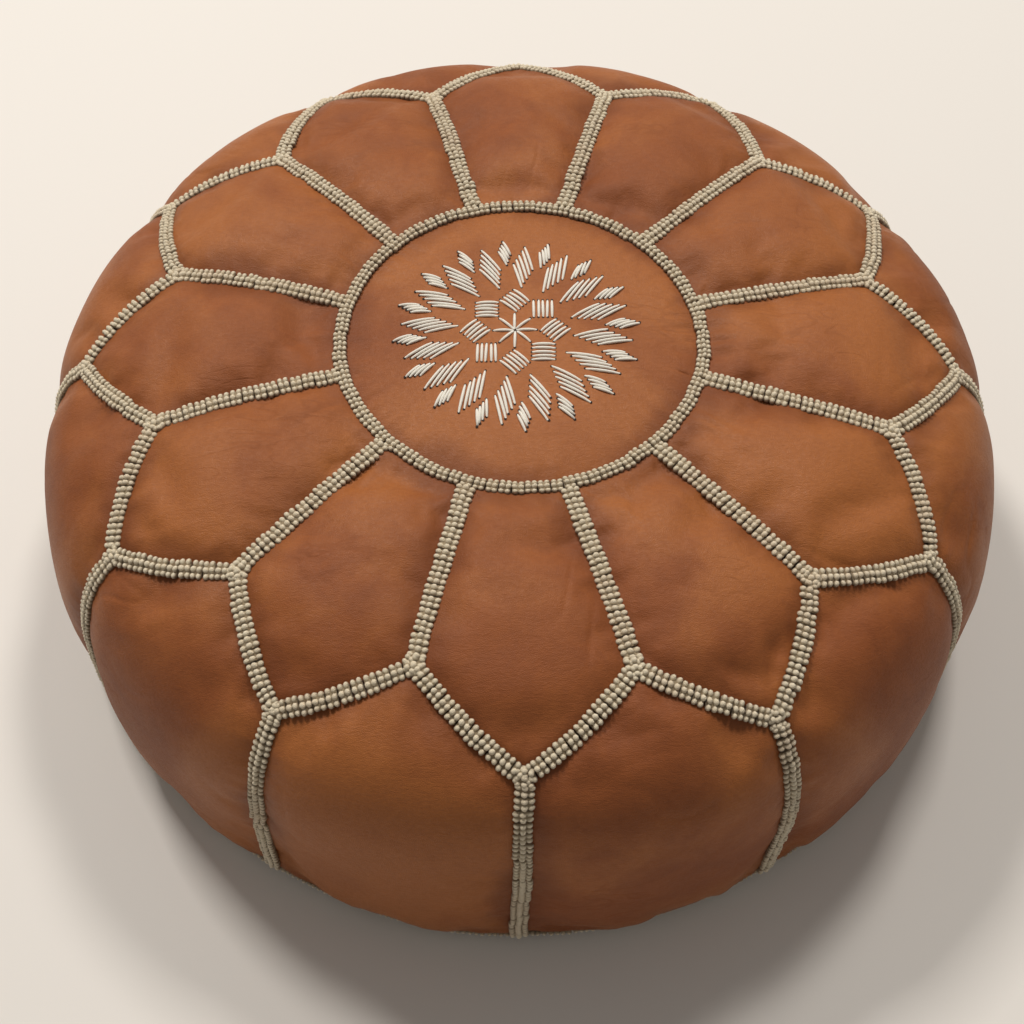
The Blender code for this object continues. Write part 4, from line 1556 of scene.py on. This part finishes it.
@dataclass
class Zip:
    """The zip: tapes, teeth, slider, pull, leather end tabs and rows of stitching."""

    workshop: Workshop
    half_length: float = 0.230
    tape_tuck: float = 0.010
    tape_edge: float = 0.0024
    tape_outer: float = 0.016
    tape_bottom: float = 0.0088
    tape_top: float = 0.0096
    cord_width: float = 0.0014
    cord_height: float = 0.0092
    cord_bulge: float = 1.6
    tooth_pitch: float = 0.003
    tooth_width: float = 0.0013
    tooth_tip: float = -0.0006
    tooth_back: float = 0.0038
    neck_length: float = 0.0012
    head_length: float = 0.0010
    tooth_bottom: float = 0.0082
    tooth_top: float = 0.0102
    tab_start: float = 0.2298
    tab_end: float = 0.2715
    tab_half: float = 0.0096
    tab_bottom: float = 0.0057
    tab_top: float = 0.0078
    slider_x: float = 0.205
    plate_half: tuple[float, float] = (0.0079, 0.0059)
    bail_reach: tuple[float, float] = (0.0036, 0.0049)
    bail_half: float = 0.0011
    bail_edge: float = 0.00028
    post_edge: float = 0.00008
    pull_length: float = 0.032
    pull_half: tuple[float, float] = (0.0039, 0.0006)
    hinge_height: float = 0.0039
    stitch_length: float = 0.0034
    stitch_radius: float = 0.00042
    stitch_tilt: float = 4.0
    stitch_pitch: float = 0.0046
    stitch_rows: tuple[float, ...] = (0.0092, 0.0142)
    stitch_height: float = 0.0066

    def build(self) -> None:
        """Make every part of the zip."""
        for label, side in (("front", -1.0), ("back", 1.0)):
            self._tape(f"zip_tape_{label}", side)
            self._teeth(f"zip_teeth_{label}", side)
            self._stitching(f"zip_stitching_{label}", side)
        for label, side in (("left", -1.0), ("right", 1.0)):
            self._end_tab(f"zip_end_tab_{label}", side)
        self._slider()
        self._pull()

    def _tape(self, node: str, side: float) -> None:
        """A woven tape with a thicker cord along the teeth."""
        near, far = sorted((side * self.tape_edge, side * self.tape_outer))
        tape = add_block(f"{node}_woven", (-self.half_length - self.tape_tuck, near, self.tape_bottom),
                         (self.half_length + self.tape_tuck, far, self.tape_top))
        cord_edge = side * (self.tape_edge + self.cord_width)
        bpy.ops.object.mode_set(mode="EDIT")
        bpy.ops.mesh.select_all(action="SELECT")
        bpy.ops.mesh.bisect(plane_co=(0.0, cord_edge, 0.0), plane_no=(0.0, 1.0, 0.0))
        select_where(tape, "faces",
                     lambda middle, normal: abs(middle.y) < abs(cord_edge) and abs(normal.z) > 0.9)
        bpy.ops.transform.resize(value=(1.0, 1.0, self.cord_bulge),
                                 center_override=(0.0, cord_edge, self.cord_height))
        select_where(tape, "edges", lambda middle, along: abs(along.x) > 0.9)
        soften_edges(0.00022, 2)
        shade_smooth(tape, math.radians(50))
        put_on(tape, self.workshop.tape)
        ride_on(tape, COVER, [node])

    def _teeth(self, node: str, side: float) -> None:
        """A row of brass teeth, half a pitch away from the opposite row."""
        half = self.tooth_width / 2
        front = self.tooth_tip + self.neck_length + self.head_length
        tooth = add_block("tooth", (-half, front, self.tooth_bottom),
                          (half, self.tooth_back, self.tooth_top))
        bpy.ops.object.mode_set(mode="EDIT")
        select_where(tooth, "faces", lambda middle, normal: normal.y < -0.9)
        bpy.ops.mesh.extrude_region_move(TRANSFORM_OT_translate={"value": (0.0, -self.neck_length, 0.0)})
        bpy.ops.transform.resize(value=(0.72, 1.0, 0.8))
        bpy.ops.mesh.extrude_region_move(TRANSFORM_OT_translate={"value": (0.0, -self.head_length, 0.0)})
        bpy.ops.transform.resize(value=(1.25, 1.0, 1.0))
        select_where(tooth, "edges", lambda middle, along: abs(along.y) > 0.9 and middle.y > 0.0016)
        soften_edges(0.00025, 1)
        pattern = take_pattern(tooth)
        count = int(2 * self.half_length / self.tooth_pitch) + 1
        turn = Matrix.Identity(4) if side > 0 else Matrix.Rotation(math.pi, 4, "Z")
        places = []
        for number in range(count):
            x = (number - (count - 1) / 2) * self.tooth_pitch + side * self.tooth_pitch / 4
            places.append(Matrix.Translation((x, 0.0, 0.0)) @ turn)
        teeth = lay_copies(f"{node}_brass", pattern, places)
        shade_smooth(teeth, math.radians(35))
        put_on(teeth, self.workshop.brass)
        ride_on(teeth, COVER, [node])

    def _stitching(self, name: str, side: float) -> None:
        """Two rows of stitches through the hem and the tape."""
        deselect_all()
        bpy.ops.mesh.primitive_cylinder_add(vertices=6, radius=self.stitch_radius, depth=self.stitch_length,
                                            rotation=(0.0, math.pi / 2, 0.0))
        stitch = take_new("hem_stitch")
        settle(stitch)
        bpy.ops.object.mode_set(mode="EDIT")
        select_where(stitch, "faces", lambda middle, normal: abs(normal.x) > 0.9)
        bpy.ops.mesh.inset(thickness=0.0002, depth=0.0003)
        bpy.ops.object.mode_set(mode="OBJECT")
        pattern = take_pattern(stitch)
        count = int(2 * self.half_length / self.stitch_pitch)
        tilt = Matrix.Rotation(math.radians(self.stitch_tilt), 4, "Z")
        places = []
        for row in self.stitch_rows:
            for number in range(count):
                x = (number - (count - 1) / 2) * self.stitch_pitch
                places.append(Matrix.Translation((x, side * row, self.stitch_height)) @ tilt)
        seam = lay_copies(name, pattern, places)
        shade_smooth(seam, math.radians(60))
        put_on(seam, self.workshop.tape)
        ride_on(seam, COVER)

    def _end_tab(self, node: str, side: float) -> None:
        """A small leather tab sewn over one end of the zip."""
        near, far = sorted((side * self.tab_start, side * self.tab_end))
        tab = add_block(f"{node}_leather", (near, -self.tab_half, self.tab_bottom),
                        (far, self.tab_half, self.tab_top))
        bpy.ops.object.mode_set(mode="EDIT")
        select_where(tab, "edges", lambda middle, along: abs(along.z) > 0.9)
        bpy.ops.mesh.bevel(offset=0.0022, segments=4)
        select_where(tab, "faces", lambda middle, normal: normal.z < -0.9)
        bpy.ops.mesh.inset(thickness=0.0004, depth=0.0)
        bpy.ops.transform.translate(value=(0.0, 0.0, -0.0001))
        bpy.ops.mesh.inset(thickness=0.0010, depth=0.0)
        bpy.ops.mesh.inset(thickness=0.0004, depth=-0.0002)
        bpy.ops.mesh.inset(thickness=0.0004, depth=0.0002)
        bpy.ops.object.mode_set(mode="OBJECT")
        shade_smooth(tab, math.radians(25))
        for label, value in (("seam_gap", 0.013), ("panel_tone", 0.15)):
            write_values(tab.data, label, np.full(len(tab.data.vertices), value))
        put_on(tab, self.workshop.leather)
        ride_on(tab, COVER, [node])

    def _plate(self, name: str, bottom: float, top: float) -> bpy.types.Object:
        """A plate of the slider, rounded at its corners and flared at the front."""
        x = self.slider_x
        length, width = self.plate_half
        plate = add_block(name, (x - length, -width, bottom), (x + length, width, top))
        bpy.ops.object.mode_set(mode="EDIT")
        select_where(plate, "faces", lambda middle, normal: normal.x < -0.9)
        bpy.ops.transform.resize(value=(1.0, 0.74, 1.0))
        select_where(plate, "edges", lambda middle, along: abs(along.z) > 0.9)
        bpy.ops.mesh.bevel(offset=0.0022, segments=4)
        select_where(plate, "edges", lambda middle, along: abs(along.z) < 0.1)
        soften_edges(0.0003, 2)
        return plate

    def _slider(self) -> None:
        """The slider: two plates, the post between them and the bail over the outer one."""
        x, half = self.slider_x, self.bail_half
        near, far = self.bail_reach
        parts = [self._plate("slider_outer", 0.0056, 0.0072), self._plate("slider_inner", 0.0110, 0.0122)]
        blocks = [((x - 0.002, -0.0004, 0.0068), (x + 0.002, 0.0004, 0.0113)),
                  ((x - far, -half, 0.0013), (x - near, half, 0.0060)),
                  ((x + near, -half, 0.0013), (x + far, half, 0.0060)),
                  ((x - far, -half, 0.0012), (x + far, half, 0.0022))]
        for number, (low, high) in enumerate(blocks):
            block = add_block(f"slider_block_{number}", low, high)
            bpy.ops.object.mode_set(mode="EDIT")
            bpy.ops.mesh.select_mode(type="EDGE")
            bpy.ops.mesh.select_all(action="SELECT")
            soften_edges(self.bail_edge if number else self.post_edge, 2)
            parts.append(block)
        slider = join_all(parts, "zip_slider_brass")
        shade_smooth(slider, math.radians(25))
        put_on(slider, self.workshop.brass)
        ride_on(slider, "slider", ["zip_slider"])

    def _pull(self) -> None:
        """The pull tab: a rounded plate with a window for the bail and a sunk grip."""
        x, z = self.slider_x, self.hinge_height
        half, thick = self.pull_half
        pull = add_block("zip_pull_brass", (x - self.pull_length, -half, z - thick),
                         (x + 0.0008, half, z + thick))
        window = add_block("pull_window", (x - 0.0075, -0.0019, z - 0.003), (x - 0.0008, 0.0019, z + 0.003))
        make_active(pull)
        bpy.ops.object.mode_set(mode="EDIT")
        select_where(pull, "edges", lambda middle, along: abs(along.z) > 0.9)
        soften_edges(0.0020, 5)
        cut_out(pull, window)
        apply_modifiers(pull)
        bpy.data.objects.remove(window)
        grip = add_block("pull_grip", (x - 0.0285, -0.0024, z - 0.003), (x - 0.0115, 0.0024, z - 0.00035))
        make_active(pull)
        cut_out(pull, grip)
        soften = pull.modifiers.new("soften", "BEVEL")
        soften.width = 0.00016
        soften.segments = 2
        soften.limit_method = "ANGLE"
        apply_modifiers(pull)
        bpy.data.objects.remove(grip)
        shade_smooth(pull, math.radians(25))
        put_on(pull, self.workshop.brass)
        ride_on(pull, "pull", ["zip_pull"])


# ---------------------------------------------------------------- bag and stuffing


@dataclass
class InnerBag:
    """A soft round layer inside the cover, set in from the seam surface, with room for the zip."""

    surface: SeamSurface
    clearance: float = 0.004
    wall: float = 0.001
    floor: float = 0.0025
    rim_clearance: float = 0.0046
    stuffing_gap: float = 0.0005
    room_half: float = 0.034
    room_slope: float = 0.008
    room_top: float = 0.0130
    mouth: tuple[float, float] = (0.090, 0.020)
    bottom_height: float = 0.004
    columns: int = 144
    wall_rows: int = 54
    floor_rows: int = 30
    fold_depth: float = 0.0011
    lump_depth: float = 0.0035

    def build(self, cotton: bpy.types.Material, fibre: bpy.types.Material) -> None:
        """Make the liner and the stuffing.

        Args:
            cotton: the liner's finish.
            fibre: the stuffing's finish.
        """
        liner = self._layer("liner_bag_cotton", self.clearance, self.fold_depth, with_mouth=True)
        skin = liner.modifiers.new("wall", "SOLIDIFY")
        skin.thickness = self.wall
        skin.offset = -1.0
        apply_modifiers(liner)
        shade_smooth(liner)
        put_on(liner, cotton)
        ride_on(liner, COVER, ["liner_bag"])
        inset = self.clearance + self.fold_depth + self.wall + self.stuffing_gap
        stuffing = self._layer("stuffing_fibre", inset, self.lump_depth, with_mouth=False)
        shade_smooth(stuffing, math.radians(180))
        put_on(stuffing, fibre)
        ride_on(stuffing, COVER, ["stuffing"])

    def _layer(self, name: str, inset: float, relief: float, with_mouth: bool) -> bpy.types.Object:
        """A closed round layer, or one with a mouth over the zip.

        Args:
            name: the piece's name.
            inset: how far it is set in from the seam surface.
            relief: how deep its folds or lumps go, always inwards.
            with_mouth: whether it is open over the zip.

        Returns:
            The layer.
        """
        surface = self.surface
        azimuth = np.linspace(0, math.tau, self.columns, endpoint=False)
        first, last = 0.004, surface.base_ring + self.bottom_height
        rings = [surface.place(azimuth, distance, -inset - relief * self._relief(azimuth, distance))[0]
                 for distance in np.linspace(first, last, self.wall_rows)]
        for share in np.linspace(1.0, 0.03, self.floor_rows)[1:]:
            rings.append(rings[self.wall_rows - 1] * np.array([share, share, 0.0]))
        points = np.concatenate([*rings, [[0.0, 0.0, rings[0][:, 2].mean()]], [[0.0, 0.0, 0.0]]])
        share = np.clip((self.room_half + self.room_slope - np.abs(points[:, 1])) / self.room_slope, 0.0, 1.0)
        low = self.floor + (self.room_top - self.floor) * share * share * (3 - 2 * share)
        low = np.maximum(low, surface.under_height(points) + self.rim_clearance)
        points[:, 2] = np.maximum(points[:, 2], low + inset - self.clearance)
        rows = len(rings)
        faces = grid_faces(rows, self.columns, wrap=True)
        if with_mouth:
            middle = points[np.array(faces)].mean(axis=1)
            keep = ((np.abs(middle[:, 0]) > self.mouth[0]) | (np.abs(middle[:, 1]) > self.mouth[1])
                    | (middle[:, 2] > surface.waist_height))
            faces = [face for face, kept in zip(faces, keep) if kept]
        top, bottom = rows * self.columns, rows * self.columns + 1
        last_ring = (rows - 1) * self.columns
        for step in range(self.columns):
            after = (step + 1) % self.columns
            faces.append((top, step, after))
            if not with_mouth:
                faces.append((bottom, last_ring + after, last_ring + step))
        layer = mesh_object(name, points, faces)
        make_active(layer)
        bpy.ops.object.mode_set(mode="EDIT")
        bpy.ops.mesh.select_all(action="SELECT")
        bpy.ops.mesh.delete_loose()
        bpy.ops.object.mode_set(mode="OBJECT")
        return layer

    def _relief(self, azimuth: np.ndarray, distance: float) -> np.ndarray:
        """Share of the relief at each azimuth of a ring."""
        shares = []
        for turn in azimuth:
            spot = Vector((math.cos(turn) * 7.0, math.sin(turn) * 7.0, distance * 16.0))
            shares.append(0.5 + 0.5 * noise.noise(spot))
        return np.array(shares)


# ---------------------------------------------------------------- stage


@dataclass
class Stage:
    """The plain pale floor, the soft studio light and the camera."""

    elevation: float = math.radians(57.234)
    distance: float = 0.9107
    heading: float = math.radians(-0.581)
    target: tuple[float, float, float] = (-0.0046, -0.0553, 0.1)
    roll: float = math.radians(0.847)
    focal_share: float = 1550.3 / 1024
    sensor: float = 36.0

    def build(self) -> None:
        """Set up floor, light and camera."""
        self._floor()
        self._light("left_light", (-1.55, 2.05, 3.60), 0.75, 108.0, (1.0, 0.955, 0.895))
        self._light("right_light", (0.72, 2.00, 3.60), 0.70, 70.0, (1.0, 0.955, 0.895))
        self._world()
        self._camera()
        bpy.context.scene.view_settings.view_transform = "Standard"

    def _floor(self) -> None:
        """A wide pale floor."""
        deselect_all()
        bpy.ops.mesh.primitive_plane_add(size=12.0, location=(0.0, 0.0, 0.0))
        floor = take_new("studio_floor")
        material = bpy.data.materials.new("pale floor")
        material.use_nodes = True
        shader = material.node_tree.nodes["Principled BSDF"]
        shader.inputs["Base Color"].default_value = (0.76, 0.73, 0.69, 1.0)
        shader.inputs["Roughness"].default_value = 0.6
        floor.data.materials.append(material)

    def _light(self, name: str, place: tuple[float, float, float], size: float, power: float,
               colour: tuple[float, float, float]) -> None:
        """Hang a square soft light that faces the pouf."""
        lamp = bpy.data.lights.new(name, "AREA")
        lamp.size = size
        lamp.energy = power
        lamp.color = colour
        holder = bpy.data.objects.new(name, lamp)
        holder.location = place
        holder.rotation_euler = (Vector((0.0, 0.0, 0.1)) - Vector(place)).to_track_quat("-Z", "Y").to_euler()
        bpy.context.scene.collection.objects.link(holder)

    def _world(self) -> None:
        """Even pale light from all round."""
        world = bpy.data.worlds.new("studio")
        world.use_nodes = True
        background = world.node_tree.nodes["Background"]
        background.inputs["Color"].default_value = (1.0, 0.95, 0.89, 1.0)
        background.inputs["Strength"].default_value = 0.25
        bpy.context.scene.world = world

    def _camera(self) -> None:
        """Look down at the pouf from the front."""
        aim = Matrix.Rotation(self.heading, 3, "Z")
        back = aim @ Vector((0.0, -math.cos(self.elevation), math.sin(self.elevation)))
        up = aim @ Vector((0.0, math.sin(self.elevation), math.cos(self.elevation)))
        right = aim @ Vector((1.0, 0.0, 0.0))
        turn = Matrix((right, up, back)).transposed() @ Matrix.Rotation(self.roll, 3, "Z")
        lens = bpy.data.cameras.new("camera")
        lens.sensor_width = self.sensor
        lens.lens = self.sensor * self.focal_share
        camera = bpy.data.objects.new("camera", lens)
        camera.matrix_world = Matrix.Translation(Vector(self.target) + back * self.distance) @ turn.to_4x4()
        bpy.context.scene.collection.objects.link(camera)
        bpy.context.scene.camera = camera


def main() -> None:
    """Build the pouf piece by piece."""
    logging.basicConfig(level=logging.INFO, format="%(name)s: %(message)s")
    noise.seed_set(WANDER_SEED)
    workshop = Workshop()
    surface = SeamSurface()
    plan = SeamPlan(surface)
    cover = LeatherCover(surface, plan, workshop.leather)
    cover.build()
    Braids(surface, plan, workshop.braid).build()
    Embroidery(surface, workshop.floss, workshop.hole_shadow).build()
    BaseHalves(surface, cover).build()
    Zip(workshop).build()
    InnerBag(surface).build(workshop.cotton, workshop.fibre)
    Stage().build()


if __name__ == "__main__":
    main()
